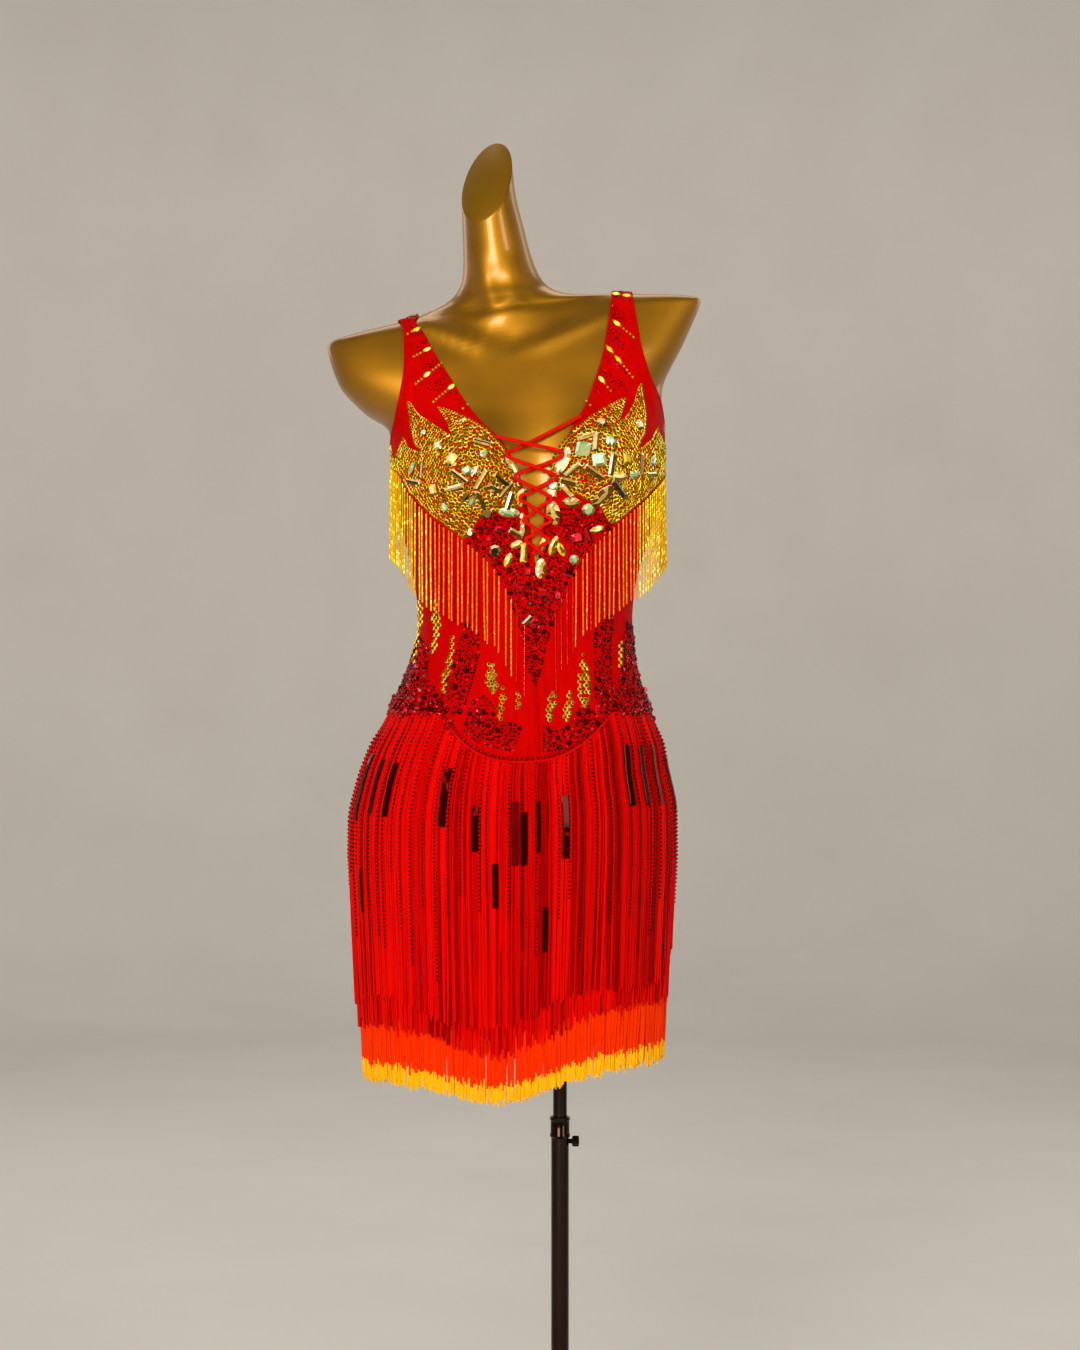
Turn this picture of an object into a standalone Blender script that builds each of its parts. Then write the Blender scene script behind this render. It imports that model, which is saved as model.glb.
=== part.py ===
"""A salsa dance dress on a limbless dress form and its stand, at real size.

Metres, +Z up. The origin is the middle of the base plate's underside, on the floor.
The dress faces -Y, the wearer's right side is at -X and the left side at +X.

The form is one smooth surface, lofted through the SECTIONS table. Every piece of
cloth is a patch of that surface moved outwards, so it fits the form all over.
A place on it has two coordinates: theta, the angle round the body from the front
(0) through the wearer's left side (+90 degrees) to the back (180), and v, the
distance up the surface.
"""

import math

import bmesh
import bpy
import numpy as np
from mathutils import Vector
from mathutils.bvhtree import BVHTree

# ------------------------------------------------------------ driving dimensions
SEAM_GAP = 0.0008  # between two pieces that meet edge to edge
REST_GAP = 0.0005  # between a piece and what it lies on
CLOTH_OFF_FORM = 0.0008  # least height of the cloth's inner face above the form
CLOTH = 0.0015  # thickness of the beaded stretch cloth
CLOTH_OUTSIDE = CLOTH_OFF_FORM + CLOTH

FORM_STEPS_ROUND = 44
FORM_STEPS_UP = 34
FIT_ROUNDS = 5

# The body of the form, from the cut thighs to above the cut neck.
# yaw turns a section's front towards +X, roll lifts its +X side (degrees).
# square is the exponent of the section's superellipse: 2 is an ellipse.
COLUMNS = "height centre_x centre_y half_width front back square yaw roll".split()
SECTIONS = (
    (0.660, -0.050, 0.004, 0.150, 0.092, 0.100, 2.2, 12, 0),
    (0.720, -0.051, 0.002, 0.166, 0.098, 0.109, 2.2, 13, 0),
    (0.780, -0.0515, 0.000, 0.1755, 0.102, 0.117, 2.2, 14, 0),
    (0.835, -0.0515, 0.000, 0.1750, 0.103, 0.119, 2.2, 14, 1),
    (0.876, -0.0520, 0.000, 0.1665, 0.102, 0.113, 2.2, 14, 2),
    (0.910, -0.0490, 0.000, 0.1575, 0.101, 0.104, 2.2, 14, 2),
    (0.944, -0.0460, 0.000, 0.1460, 0.098, 0.095, 2.2, 14, 2),
    (0.977, -0.0445, 0.000, 0.1350, 0.094, 0.087, 2.2, 12, 1),
    (1.011, -0.0415, 0.000, 0.1240, 0.089, 0.082, 2.2, 10, 1),
    (1.056, -0.0385, 0.000, 0.1175, 0.085, 0.080, 2.2, 8, 1),
    (1.090, -0.0385, 0.000, 0.1205, 0.085, 0.082, 2.2, 7, 1),
    (1.130, -0.0370, 0.001, 0.1300, 0.088, 0.087, 2.2, 6, 1),
    (1.175, -0.0360, 0.002, 0.1420, 0.092, 0.093, 2.3, 5, 2),
    (1.215, -0.0355, 0.004, 0.1500, 0.094, 0.097, 2.4, 4, 3),
    (1.250, -0.0360, 0.006, 0.1510, 0.092, 0.099, 2.5, 3, 5),
    (1.286, -0.0390, 0.008, 0.1530, 0.086, 0.097, 2.6, 3, 7),
    (1.309, -0.0500, 0.009, 0.1700, 0.081, 0.093, 2.8, 3, 7),
    (1.342, -0.0545, 0.010, 0.1930, 0.071, 0.084, 3.0, 3, 7),
    (1.388, -0.0510, 0.012, 0.2095, 0.050, 0.062, 3.0, 2, 7),
    (1.4045, -0.0470, 0.014, 0.1380, 0.043, 0.053, 2.6, 1, 7),
    (1.4120, -0.0600, 0.015, 0.0830, 0.044, 0.052, 2.3, 0, 6),
    (1.4225, -0.0645, 0.015, 0.0565, 0.0475, 0.052, 2.0, 0, 5),
    (1.4380, -0.0665, 0.013, 0.0442, 0.0495, 0.050, 2.0, 0, 4),
    (1.4600, -0.0700, 0.010, 0.0386, 0.046, 0.047, 2.0, 0, 3),
    (1.4980, -0.0755, 0.004, 0.0340, 0.043, 0.044, 2.0, 0, 1),
    (1.5370, -0.0805, -0.002, 0.0300, 0.040, 0.041, 2.0, 0, 0),
    (1.6300, -0.0840, -0.014, 0.0255, 0.034, 0.035, 2.0, 0, 0),
)

# Soft relief of the form's front: x, z, how far it stands out, and its spread
# sideways, upwards and downwards.
BUMPS = (
    (-0.104, 1.206, 0.036, 0.044, 0.062, 0.040),  # right cup
    (0.046, 1.209, 0.036, 0.044, 0.062, 0.040),  # left cup
    (-0.058, 1.359, -0.009, 0.011, 0.014, 0.014),  # hollow between the collar bones
    (-0.061, 1.403, 0.0165, 0.030, 0.021, 0.025),  # the neck runs down in front of the shoulders
)
# Ridges of the front: from x, z to x, z, how far it stands out, and its spread.
RIDGES = (
    (-0.072, 1.350, -0.150, 1.384, 0.0060, 0.009),  # right collar bone
    (-0.042, 1.348, 0.052, 1.394, 0.0060, 0.009),  # left collar bone
    (-0.066, 1.368, -0.090, 1.450, 0.0040, 0.010),  # right tendon of the neck
    (-0.049, 1.370, -0.050, 1.450, 0.0040, 0.010),  # left tendon of the neck
)


# ------------------------------------------------------------ the form's surface
def knots_of(rows):
    """Distance up the surface to each section, from the change in height, width and depth."""
    size = rows[:, [COLUMNS.index(c) for c in ("height", "half_width", "front")]]
    steps = np.linalg.norm(np.diff(size, axis=0), axis=1)
    return np.concatenate([[0.0], np.cumsum(steps)])


def slopes_of(knots, values):
    """Slopes of a cubic through the values that never overshoots them."""
    run = np.diff(knots)[:, None]
    rise = np.diff(values, axis=0) / run
    slopes = np.zeros_like(values)
    slopes[0], slopes[-1] = rise[0], rise[-1]
    same = rise[:-1] * rise[1:] > 0
    lower, upper = 2 * run[1:] + run[:-1], run[1:] + 2 * run[:-1]
    safe = np.where(same, rise[:-1], 1.0), np.where(same, rise[1:], 1.0)
    mean = (lower + upper) / (lower / safe[0] + upper / safe[1])
    slopes[1:-1] = np.where(same, mean, 0.0)
    return slopes


class Curve:
    """A smooth curve of several columns through its rows, read at any place along it."""

    def __init__(self, knots, values):
        self.knots = np.asarray(knots, float)
        self.values = np.asarray(values, float)
        self.slopes = slopes_of(self.knots, self.values)

    def __call__(self, at):
        at = np.clip(np.asarray(at, float), self.knots[0], self.knots[-1])
        i = np.clip(np.searchsorted(self.knots, at, "right") - 1, 0, len(self.knots) - 2)
        run = self.knots[i + 1] - self.knots[i]
        t = ((at - self.knots[i]) / run)[..., None]
        run = run[..., None]
        start = (2 * t**3 - 3 * t**2 + 1) * self.values[i]
        end = (3 * t**2 - 2 * t**3) * self.values[i + 1]
        leave = (t**3 - 2 * t**2 + t) * run * self.slopes[i]
        arrive = (t**3 - t**2) * run * self.slopes[i + 1]
        return start + end + leave + arrive


ROWS = np.array(SECTIONS, float)
BODY = Curve(knots_of(ROWS), ROWS)
V_TOP = BODY.knots[-1]
FINE_V = np.linspace(0, V_TOP, 2400)
FINE_ROWS = BODY(FINE_V)
HEIGHT, CENTRE_X, HALF_WIDTH, ROLL = (COLUMNS.index(c) for c in ("height", "centre_x", "half_width", "roll"))


def signed_power(value, exponent):
    return np.sign(value) * np.abs(value) ** exponent


def ramp(value, low, high):
    """0 below low, 1 above high, and smooth between them."""
    t = np.clip((value - low) / (high - low), 0, 1)
    return t * t * (3 - 2 * t)


def relief(x, z):
    """How far the front stands out of its sections at x, z."""
    out = 0.0
    for cx, cz, height, side, up, down in BUMPS:
        spread = np.where(z > cz, up, down)
        out = out + height * np.exp(-(((x - cx) / side) ** 2) - ((z - cz) / spread) ** 2)
    for ax, az, bx, bz, height, spread in RIDGES:
        dx, dz = bx - ax, bz - az
        along = np.clip(((x - ax) * dx + (z - az) * dz) / (dx * dx + dz * dz), 0, 1)
        away = np.hypot(x - ax - along * dx, z - az - along * dz)
        out = out + height * np.exp(-((away / spread) ** 2)) * np.sin(np.pi * (0.15 + 0.7 * along))
    return out


def form_point(theta, v):
    """Points of the form's surface."""
    theta, v = np.broadcast_arrays(np.asarray(theta, float), np.asarray(v, float))
    row = BODY(v)
    height, cx, cy, wide, front, back, square, yaw, roll = np.moveaxis(row, -1, 0)
    yaw, roll = np.radians(yaw), np.radians(roll)
    facing = np.cos(theta)
    side = wide * signed_power(np.sin(theta), 2 / square)
    depth = -np.where(facing > 0, front, back) * signed_power(facing, 2 / square)
    x = cx + side * np.cos(yaw) - depth * np.sin(yaw)
    y = cy + side * np.sin(yaw) + depth * np.cos(yaw)
    z = height + (x - cx) * np.tan(roll)
    y = y - relief(x, z) * ramp(facing, 0.0, 0.6)
    return np.stack([x, y, z], -1)


def form_normal(theta, v, step=0.0006):
    """Outward normals of the form's surface."""
    theta, v = np.broadcast_arrays(np.asarray(theta, float), np.asarray(v, float))
    turn = step / 0.12
    round_it = form_point(theta + turn, v) - form_point(theta - turn, v)
    up_it = form_point(theta, np.clip(v + step, 0, V_TOP)) - form_point(theta, np.clip(v - step, 0, V_TOP))
    normal = np.cross(round_it, up_it)
    return normal / np.linalg.norm(normal, axis=-1, keepdims=True)


def above_form(theta, v, out):
    """Points at a distance out from the form's surface."""
    return form_point(theta, v) + form_normal(theta, v) * np.asarray(out)[..., None]


def fitted(theta, v, out, side=1, closed=False):
    """How far out each point of a grid goes, so that the flat facets between them keep to one side.

    side 1 keeps every facet at least out above the form's surface, -1 keeps it below.
    """
    if closed:
        theta = np.concatenate([theta, theta[:, :1] + 2 * math.pi], axis=1)
        v = np.concatenate([v, v[:, :1]], axis=1)
    outs = np.full(theta.shape, float(out))
    low, high, whole = slice(None, -1), slice(1, None), slice(None)
    pairs = (
        ((low, low), (high, high)), ((low, high), (high, low)),
        ((low, whole), (high, whole)), ((whole, low), (whole, high)),
    )
    for _ in range(FIT_ROUNDS):
        points = above_form(theta, v, outs)
        for one, other in pairs:
            middle_theta, middle_v = (theta[one] + theta[other]) / 2, (v[one] + v[other]) / 2
            chord = (points[one] + points[other]) / 2 - form_point(middle_theta, middle_v)
            short = side * out - side * (chord * form_normal(middle_theta, middle_v)).sum(-1)
            move = side * np.clip(short, 0, None) * 0.6
            outs[one] += move
            outs[other] += move
        if closed:
            ends = side * np.maximum(side * outs[:, 0], side * outs[:, -1])
            outs[:, 0] = outs[:, -1] = ends
    return outs[:, :-1] if closed else outs


def v_at(height):
    return np.interp(height, FINE_ROWS[:, HEIGHT], FINE_V)


def place(x, z, back=False):
    """theta and v of the front, or back, surface at x, z. An x past the side gives the side."""
    v = v_at(z)
    for _ in range(20):
        row = BODY(v)
        v = 0.5 * v + 0.5 * v_at(z - (x - row[CENTRE_X]) * math.tan(math.radians(row[ROLL])))
    middle = math.pi if back else 0.0
    angles = middle + np.radians(np.linspace(-125, 125, 1001))
    xs = form_point(angles, v)[:, 0]
    first, last = sorted((int(xs.argmin()), int(xs.argmax())))
    angles, xs = angles[first : last + 1], xs[first : last + 1]
    if back:
        angles, xs = angles[::-1], xs[::-1]
    return float(np.interp(x, xs, angles)), float(v)


def ridge(x):
    """v where the shoulder's ridge, at theta of 90 degrees either way, has this x."""
    side = 1 if x > FINE_ROWS[-1, CENTRE_X] else -1
    tip = int(FINE_ROWS[:, HALF_WIDTH].argmax())
    v = FINE_V[tip:]
    xs = form_point(side * math.pi / 2, v)[:, 0] * side
    return float(np.interp(-x * side, -xs, v))


def v_for(theta, z):
    """v where the surface at theta has this height."""
    theta, z = np.broadcast_arrays(np.asarray(theta, float), np.asarray(z, float))
    v = v_at(z)
    for _ in range(12):
        v = v + 0.7 * (v_at(z) - v_at(form_point(theta, v)[..., 2]))
    return v


# ------------------------------------------------------------ cut of the dress
# Each panel of the bodice runs from the hip seam to the shoulder seam. A row
# gives one level of it: x and z of its inner edge, then x and z of its outer edge.
# SIDE as the outer x is the side seam, and RIDGE as a z is the shoulder seam.
SIDE = None
RIDGE = None
SIDE_THETA = math.radians(90)
UNDERARM = 1.246
HIP_SEAM = 0.956  # height of the hip seam at the sides and back
BOTTOM_OF_LACING = (-0.026, 1.097)
FRONT_SEAM = (
    (-0.0225, 0.904, SIDE, HIP_SEAM),
    (-0.0260, 1.032, SIDE, 1.056),
    (*BOTTOM_OF_LACING, SIDE, 1.125),
)
FRONT_RIGHT = FRONT_SEAM + (
    (-0.031, 1.135, SIDE, 1.165),
    (-0.036, 1.173, SIDE, 1.200),
    (-0.044, 1.205, SIDE, 1.225),
    (-0.055, 1.232, SIDE, UNDERARM),
    (-0.069, 1.252, -0.186, 1.262),
    (-0.084, 1.266, -0.182, 1.277),
    (-0.1055, 1.294, -0.1755, 1.303),
    (-0.1225, 1.322, -0.1715, 1.333),
    (-0.1435, 1.357, -0.1725, 1.364),
    (-0.1585, RIDGE, -0.181, RIDGE),
)
FRONT_LEFT = FRONT_SEAM + (
    (-0.020, 1.141, SIDE, 1.165),
    (-0.016, 1.184, SIDE, 1.203),
    (-0.008, 1.216, SIDE, 1.228),
    (0.003, 1.243, SIDE, UNDERARM),
    (0.016, 1.268, 0.116, 1.274),
    (0.0275, 1.288, 0.1105, 1.299),
    (0.0355, 1.311, 0.1005, 1.321),
    (0.0440, 1.337, 0.0915, 1.346),
    (0.0510, 1.372, 0.0855, 1.378),
    (0.0580, RIDGE, 0.0800, RIDGE),
)
BACK_SEAM_X = -0.045
BACK_SEAM = (
    (BACK_SEAM_X, HIP_SEAM, SIDE, HIP_SEAM),
    (BACK_SEAM_X, 1.056, SIDE, 1.056),
    (BACK_SEAM_X, 1.125, SIDE, 1.125),
    (BACK_SEAM_X, 1.170, SIDE, 1.190),
)
BACK_RIGHT = BACK_SEAM + (
    (-0.072, 1.186, SIDE, UNDERARM),
    (-0.105, 1.222, -0.178, 1.266),
    (-0.128, 1.272, -0.173, 1.300),
    (-0.145, 1.322, -0.172, 1.338),
    (-0.154, 1.365, -0.177, 1.372),
    (-0.1585, RIDGE, -0.181, RIDGE),
)
BACK_LEFT = BACK_SEAM + (
    (-0.014, 1.186, SIDE, UNDERARM),
    (0.018, 1.222, 0.104, 1.272),
    (0.036, 1.280, 0.092, 1.308),
    (0.048, 1.335, 0.086, 1.350),
    (0.055, 1.385, 0.082, 1.392),
    (0.0580, RIDGE, 0.0800, RIDGE),
)
FRONT_COLUMNS, FRONT_ROWS = 11, 31
ROW_SHARES, ROW_PLACES = (0, 0.28, 0.72, 1), (0, 0.38, 0.70, 1)  # closer rows over the cups
BACK_COLUMNS, BACK_ROWS = 9, 20

# The hip seam dips into a round point at the front.
POINT_X = -0.0395
POINT_HALF_WIDTH = 0.098
POINT_DEPTH = 0.052

SKIRT_BOTTOM = 0.715  # lower edge of the short skirt under the fringe
SKIRT_ROWS = 4

# Big cut stones sewn to the cups: x and z.
STONES_RIGHT = (
    (-0.082, 1.231), (-0.099, 1.212), (-0.115, 1.232), (-0.096, 1.182),
    (-0.073, 1.196), (-0.118, 1.192), (-0.135, 1.245), (-0.158, 1.220), (-0.126, 1.172),
    (-0.084, 1.158), (-0.062, 1.130),
)
STONES_LEFT = (
    (0.014, 1.186), (0.024, 1.237), (0.040, 1.220), (0.055, 1.245), (0.077, 1.229),
    (0.098, 1.233), (0.031, 1.168), (0.066, 1.207), (0.046, 1.190), (0.017, 1.146),
)
STONE_RISE = 0.0028
STONE_INSET = 0.0018

# Fringes. pitch is split into a lock and the gap beside it.
LOCK_SHARE = 0.6
TAPE = 0.0014  # thickness of the tape that carries the strands
HIP_TAPE_GAP = 0.0012  # between a tape and the cloth, at the tape's stations
BUST_TAPE_GAP = 0.0017
HIP_LEVEL = 0.790  # the widest level, from which the fringe falls plumb
FALL_TAPER = 0.27  # how much the fall draws in, for each metre below that level
UPPER_LOCKS = 56
UPPER_TAPE_DROP = 0.005
UPPER_TAPE_DEPTH = 0.008
UPPER_LEVELS = ((0.35, 0.0035), (0.7, 0.0045))  # share of the way to HIP_LEVEL, and how far off the cloth
UPPER_FALL = 0.0050
UPPER_ENDS = (0.625, 0.06, 0.038)  # height at x = 0, slope along x, how deep the round dip at the front is
LOWER_LOCKS = 48
LOWER_TAPE_TOP = 0.748
LOWER_TAPE_DEPTH = 0.008
LOWER_ENDS = (0.561, 0.04, 0.026)
DIP_MIDDLE, DIP_SPREAD = -0.065, 0.075  # where the dip is, along x
BUST_LOCKS = 24
BUST_TAPE_DEPTH = 0.005
BUST_OFF = 0.0008  # how far a strand lies off the cloth that it touches
LYING_THETA = math.radians(60)  # further round, the strands hang clear
BUST_DROP = 0.100  # length of the gold strands at the side
BUST_DROP_FRONT = 0.078  # and beside the front seam
# The line of the gold fringe, from the front seam round under each cup: x, z.
BUST_LINE_RIGHT = (
    (-0.036, 1.042), (-0.047, 1.064), (-0.058, 1.086), (-0.070, 1.108), (-0.093, 1.132),
    (-0.116, 1.151), (-0.139, 1.168), (-0.163, 1.194), (-0.176, 1.217),
)
BUST_LINE_LEFT = (
    (-0.010, 1.052), (-0.002, 1.075), (0.010, 1.098), (0.022, 1.121), (0.044, 1.146),
    (0.067, 1.168), (0.091, 1.189), (0.107, 1.207),
)
BUST_END = (math.radians(104), 1.232)  # theta and height where it ends, just behind the side seam

# Lacing. Each cord goes from edge to edge, turning at these heights.
CORD = 0.0044
LACE_OVERLAP = 0.0030  # how far in from the edge the turns are centred
LACE_TURN = 0.0034  # radius of a turn
TURN_STEPS = 5
LACE_POINTS = 56
LACE_LIFT = 0.0018  # between the cord and the cloth
LACE_A = (
    ("right", 1.253), ("left", 1.231), ("right", 1.208), ("left", 1.186),
    ("right", 1.163), ("left", 1.141), ("right", 1.122),
)
LACE_B = (
    ("left", 1.276), ("right", 1.231), ("left", 1.208), ("right", 1.186),
    ("left", 1.163), ("right", 1.141), ("left", 1.122),
)

# The neck is cut by a plane that falls to the front and the wearer's right.
NECK_CUT_POINT = (-0.0795, -0.004, 1.5475)
NECK_CUT_SLOPE = (0.87, 1.41)  # rise for each metre towards +X and +Y

# The stand.
BASE_RADIUS = 0.160
BASE_THICKNESS = 0.008
HUB_RADIUS = 0.024
HUB_HEIGHT = 0.032
TUBE_RADIUS = 0.0100
TUBE_BORE = 0.0083
TUBE_TOP = 0.500
MAST_RADIUS = 0.0078
MAST_BOTTOM = 0.270
SOCKET_RADIUS = 0.022
SOCKET_HEIGHT = 0.034
SCREW_HEIGHT = 0.472
SCREW_RADIUS = 0.0028
SCREW_CLEARANCE = 0.0003
KNOB_RADIUS = 0.0060
KNOB_START = 0.0135
KNOB_END = 0.0215
ROUND_SIDES = 28

RED, GOLD, DEEP_RED, ORANGE, METAL = "stretch_red", "gold_form", "deep_red", "orange_fringe", "bronze_metal"
BEAD_GOLD, FRINGE_RED = "gold_beads", "red_fringe"
FINISHES = {  # linear base colour, roughness, metallic
    RED: ((0.62, 0.006, 0.004), 0.6, 0.0),
    DEEP_RED: ((0.40, 0.004, 0.004), 0.6, 0.0),
    FRINGE_RED: ((0.70, 0.008, 0.004), 0.45, 0.0),
    ORANGE: ((0.90, 0.16, 0.01), 0.45, 0.0),
    BEAD_GOLD: ((0.70, 0.42, 0.03), 0.25, 0.8),
    GOLD: ((0.46, 0.27, 0.03), 0.25, 0.6),
    METAL: ((0.22, 0.10, 0.05), 0.25, 1.0),
}


# ------------------------------------------------------------ making objects
def fresh_file():
    for thing in list(bpy.data.objects):
        bpy.data.objects.remove(thing)


def collection(name):
    made = bpy.data.collections.new(name)
    bpy.context.scene.collection.children.link(made)
    return made


def material(name):
    made = bpy.data.materials.get(name)
    if made:
        return made
    made = bpy.data.materials.new(name)
    made.use_nodes = True
    colour, roughness, metallic = FINISHES[name]
    shader = made.node_tree.nodes["Principled BSDF"]
    shader.inputs["Base Color"].default_value = (*colour, 1)
    shader.inputs["Roughness"].default_value = roughness
    shader.inputs["Metallic"].default_value = metallic
    return made


def part(name, mesh_maker, finish):
    """A named object of the dress or its form, from a function that fills a bmesh."""
    bm = bmesh.new()
    mesh_maker(bm)
    bmesh.ops.recalc_face_normals(bm, faces=bm.faces)
    mesh = bpy.data.meshes.new(name)
    bm.to_mesh(mesh)
    bm.free()
    mesh.shade_smooth()
    mesh.set_sharp_from_angle(angle=math.radians(40))
    mesh.materials.append(material(finish))
    made = bpy.data.objects.new(name, mesh)
    DRESS.objects.link(made)
    return made


def grid_verts(bm, points):
    return [[bm.verts.new(p) for p in row] for row in points]


def skin(bm, verts, closed=False):
    """Faces over a grid of vertices. A closed grid joins its last column to its first."""
    columns = len(verts[0])
    faces = {}
    for i in range(len(verts) - 1):
        for j in range(columns if closed else columns - 1):
            k = (j + 1) % columns
            faces[i, j] = bm.faces.new((verts[i][j], verts[i][k], verts[i + 1][k], verts[i + 1][j]))
    return faces


def bridge(bm, one, other, closed=True):
    """Faces between two rows of as many vertices."""
    for j in range(len(one) if closed else len(one) - 1):
        k = (j + 1) % len(one)
        bm.faces.new((one[j], one[k], other[k], other[j]))


def rim_of(verts):
    """The vertices round the edge of a grid, in order."""
    right = [row[-1] for row in verts[1:-1]]
    left = [row[0] for row in verts[1:-1]]
    return verts[0] + right + verts[-1][::-1] + left[::-1]


def pulled_in(points, gap):
    """A grid of points whose outer rows and columns are moved in by a gap."""
    points = np.array(points, float)
    for axis in (0, 1):
        p = np.swapaxes(points, 0, axis)
        for edge, inner in ((0, 1), (-1, -2)):
            step = p[inner] - p[edge]
            p[edge] = p[edge] + step * gap / np.linalg.norm(step, axis=-1, keepdims=True)
    return points


# ------------------------------------------------------------ the dress form
def make_form(bm):
    """The lofted body, closed below and cut off flat at the neck."""
    thetas = np.linspace(0, 2 * math.pi, FORM_STEPS_ROUND, endpoint=False)
    theta, v = np.meshgrid(thetas, np.linspace(0, V_TOP, FORM_STEPS_UP))
    verts = grid_verts(bm, above_form(theta, v, fitted(theta, v, 0, -1, True)))
    skin(bm, verts, closed=True)
    bm.faces.new(verts[0])
    slope_x, slope_y = NECK_CUT_SLOPE
    cut = bmesh.ops.bisect_plane(
        bm,
        geom=bm.verts[:] + bm.edges[:] + bm.faces[:],
        plane_co=NECK_CUT_POINT,
        plane_no=(-slope_x, -slope_y, 1),
        clear_outer=True,
    )
    edges = [e for e in cut["geom_cut"] if isinstance(e, bmesh.types.BMEdge)]
    bmesh.ops.contextual_create(bm, geom=edges)


# ------------------------------------------------------------ the bodice
def seam_height(theta):
    """Height of the hip seam: level, with the round point at the front."""
    theta = np.asarray(theta, float)
    x = form_point(theta, v_for(theta, 0.93))[..., 0]
    across = np.clip(np.abs(x - POINT_X) / POINT_HALF_WIDTH, 0, 1)
    dip = (1 - across**2.5) ** 1.2
    return HIP_SEAM - POINT_DEPTH * np.where(np.cos(theta) > 0, dip, 0)


def edge_place(x, z, side, back):
    """theta and v of a point in a panel's row."""
    if z is RIDGE:
        return side * math.pi / 2, ridge(x)
    if x is SIDE:
        return side * SIDE_THETA, float(v_for(side * SIDE_THETA, z))
    theta, v = place(x, z, back)
    if back and side < 0:
        theta -= 2 * math.pi
    return theta, v


def straighten(line, rows, side, back):
    """Moves the part of an inner edge that is a seam onto the seam's own x, so that both panels meet it."""
    table = np.array([r[:2] for r in rows[: len(BACK_SEAM if back else FRONT_SEAM)]])
    for place_here in line:
        z = form_point(*place_here)[2]
        if z < table[-1, 1]:
            place_here[0] = edge_place(float(np.interp(z, table[:, 1], table[:, 0])), z, side, back)[0]


def theta_of(x, v, side, back):
    """theta where the surface at v has this x, between the middle of the front or back and the side."""
    low = np.full(np.shape(x), math.pi / 2 if back else 0.0)
    high = low + math.pi / 2
    for _ in range(34):
        middle = (low + high) / 2
        short = (form_point(side * middle, v)[..., 0] - x) * (side if back else -side) > 0
        low, high = np.where(short, middle, low), np.where(short, high, middle)
    return side * (low + high) / 2


def eased(knots, values):
    """A curve through the values with no kinks."""
    curve = Curve(knots, values)
    curve.slopes = np.gradient(curve.values, curve.knots, axis=0)
    return curve


def panel_places(rows, side, back):
    """theta and v over a panel: a row of places for each level, from its inner to its outer edge.

    On the strap, where the surface turns over the shoulder, x leads instead of theta.
    """
    columns, levels = (BACK_COLUMNS, BACK_ROWS) if back else (FRONT_COLUMNS, FRONT_ROWS)
    inner = np.array([edge_place(r[0], r[1], side, back) for r in rows])
    outer = np.array([edge_place(r[2], r[3], side, back) for r in rows])
    middle = (inner + outer) / 2
    size = np.diff(middle, axis=0) * (0.12, 1.0)
    knots = np.concatenate([[0], np.cumsum(np.linalg.norm(size, axis=1))])
    at = knots[-1] * np.interp(np.linspace(0, 1, levels), ROW_SHARES, ROW_PLACES)
    inner_line, outer_line = eased(knots, inner)(at), Curve(knots, outer)(at)
    straighten(inner_line, rows, side, back)
    across = np.linspace(0, 1, columns + 1)[None, :, None]
    places = inner_line[:, None] * (1 - across) + outer_line[:, None] * across
    edges = [np.column_stack([form_point(*line.T)[:, 0], line[:, 1]]) for line in (inner, outer)]
    inner_line, outer_line = (eased(knots, edge)(at) for edge in edges)
    on_strap = inner_line[:, None] * (1 - across) + outer_line[:, None] * across
    first = -6 if back else -7
    share = ramp(at, knots[first], knots[first + 1])[:, None]
    strap_theta = theta_of(on_strap[..., 0], on_strap[..., 1], side, back)
    places[..., 0] += share * (strap_theta - places[..., 0])
    places[..., 1] += share * (on_strap[..., 1] - places[..., 1])
    seam_v = v_for(places[0, :, 0], seam_height(places[0, :, 0]))
    waist = knots[2]
    fade = np.clip(1 - at / waist, 0, 1)[:, None] ** 1.5
    places[..., 1] += fade * (seam_v - places[0, :, 1])
    return places


def wall(bm, inside, outside):
    """A cloth wall between two grids of points."""
    inner, outer = grid_verts(bm, inside), grid_verts(bm, outside)
    skin(bm, inner)
    faces = skin(bm, outer)
    bridge(bm, rim_of(inner), rim_of(outer))
    return faces


def raise_stones(bm, faces, stones):
    """Lifts the outer face nearest to each stone's place into a block with a smaller top."""
    chosen = set()
    for x, z in stones:
        def away(key):
            middle = faces[key].calc_center_median()
            return math.hypot(middle.x - x, middle.z - z)
        chosen.add(min(faces, key=away))
    picked = [faces[key] for key in sorted(chosen)]
    bmesh.ops.recalc_face_normals(bm, faces=bm.faces)
    bmesh.ops.inset_individual(bm, faces=picked, thickness=STONE_INSET)
    bmesh.ops.inset_individual(bm, faces=picked, thickness=STONE_INSET / 2, depth=STONE_RISE)


def panel(name, rows, side, back, stones=()):
    """One panel of the bodice, on its side of the body."""
    places = panel_places(rows, side, back)
    theta, v = places[..., 0], places[..., 1]
    outs = fitted(theta, v, CLOTH_OFF_FORM)
    inside = pulled_in(above_form(theta, v, outs), SEAM_GAP / 2)
    outside = pulled_in(above_form(theta, v, outs + CLOTH), SEAM_GAP / 2)

    def make(bm):
        faces = wall(bm, inside, outside)
        if stones:
            raise_stones(bm, faces, stones)

    return part(name, make, RED)


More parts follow.
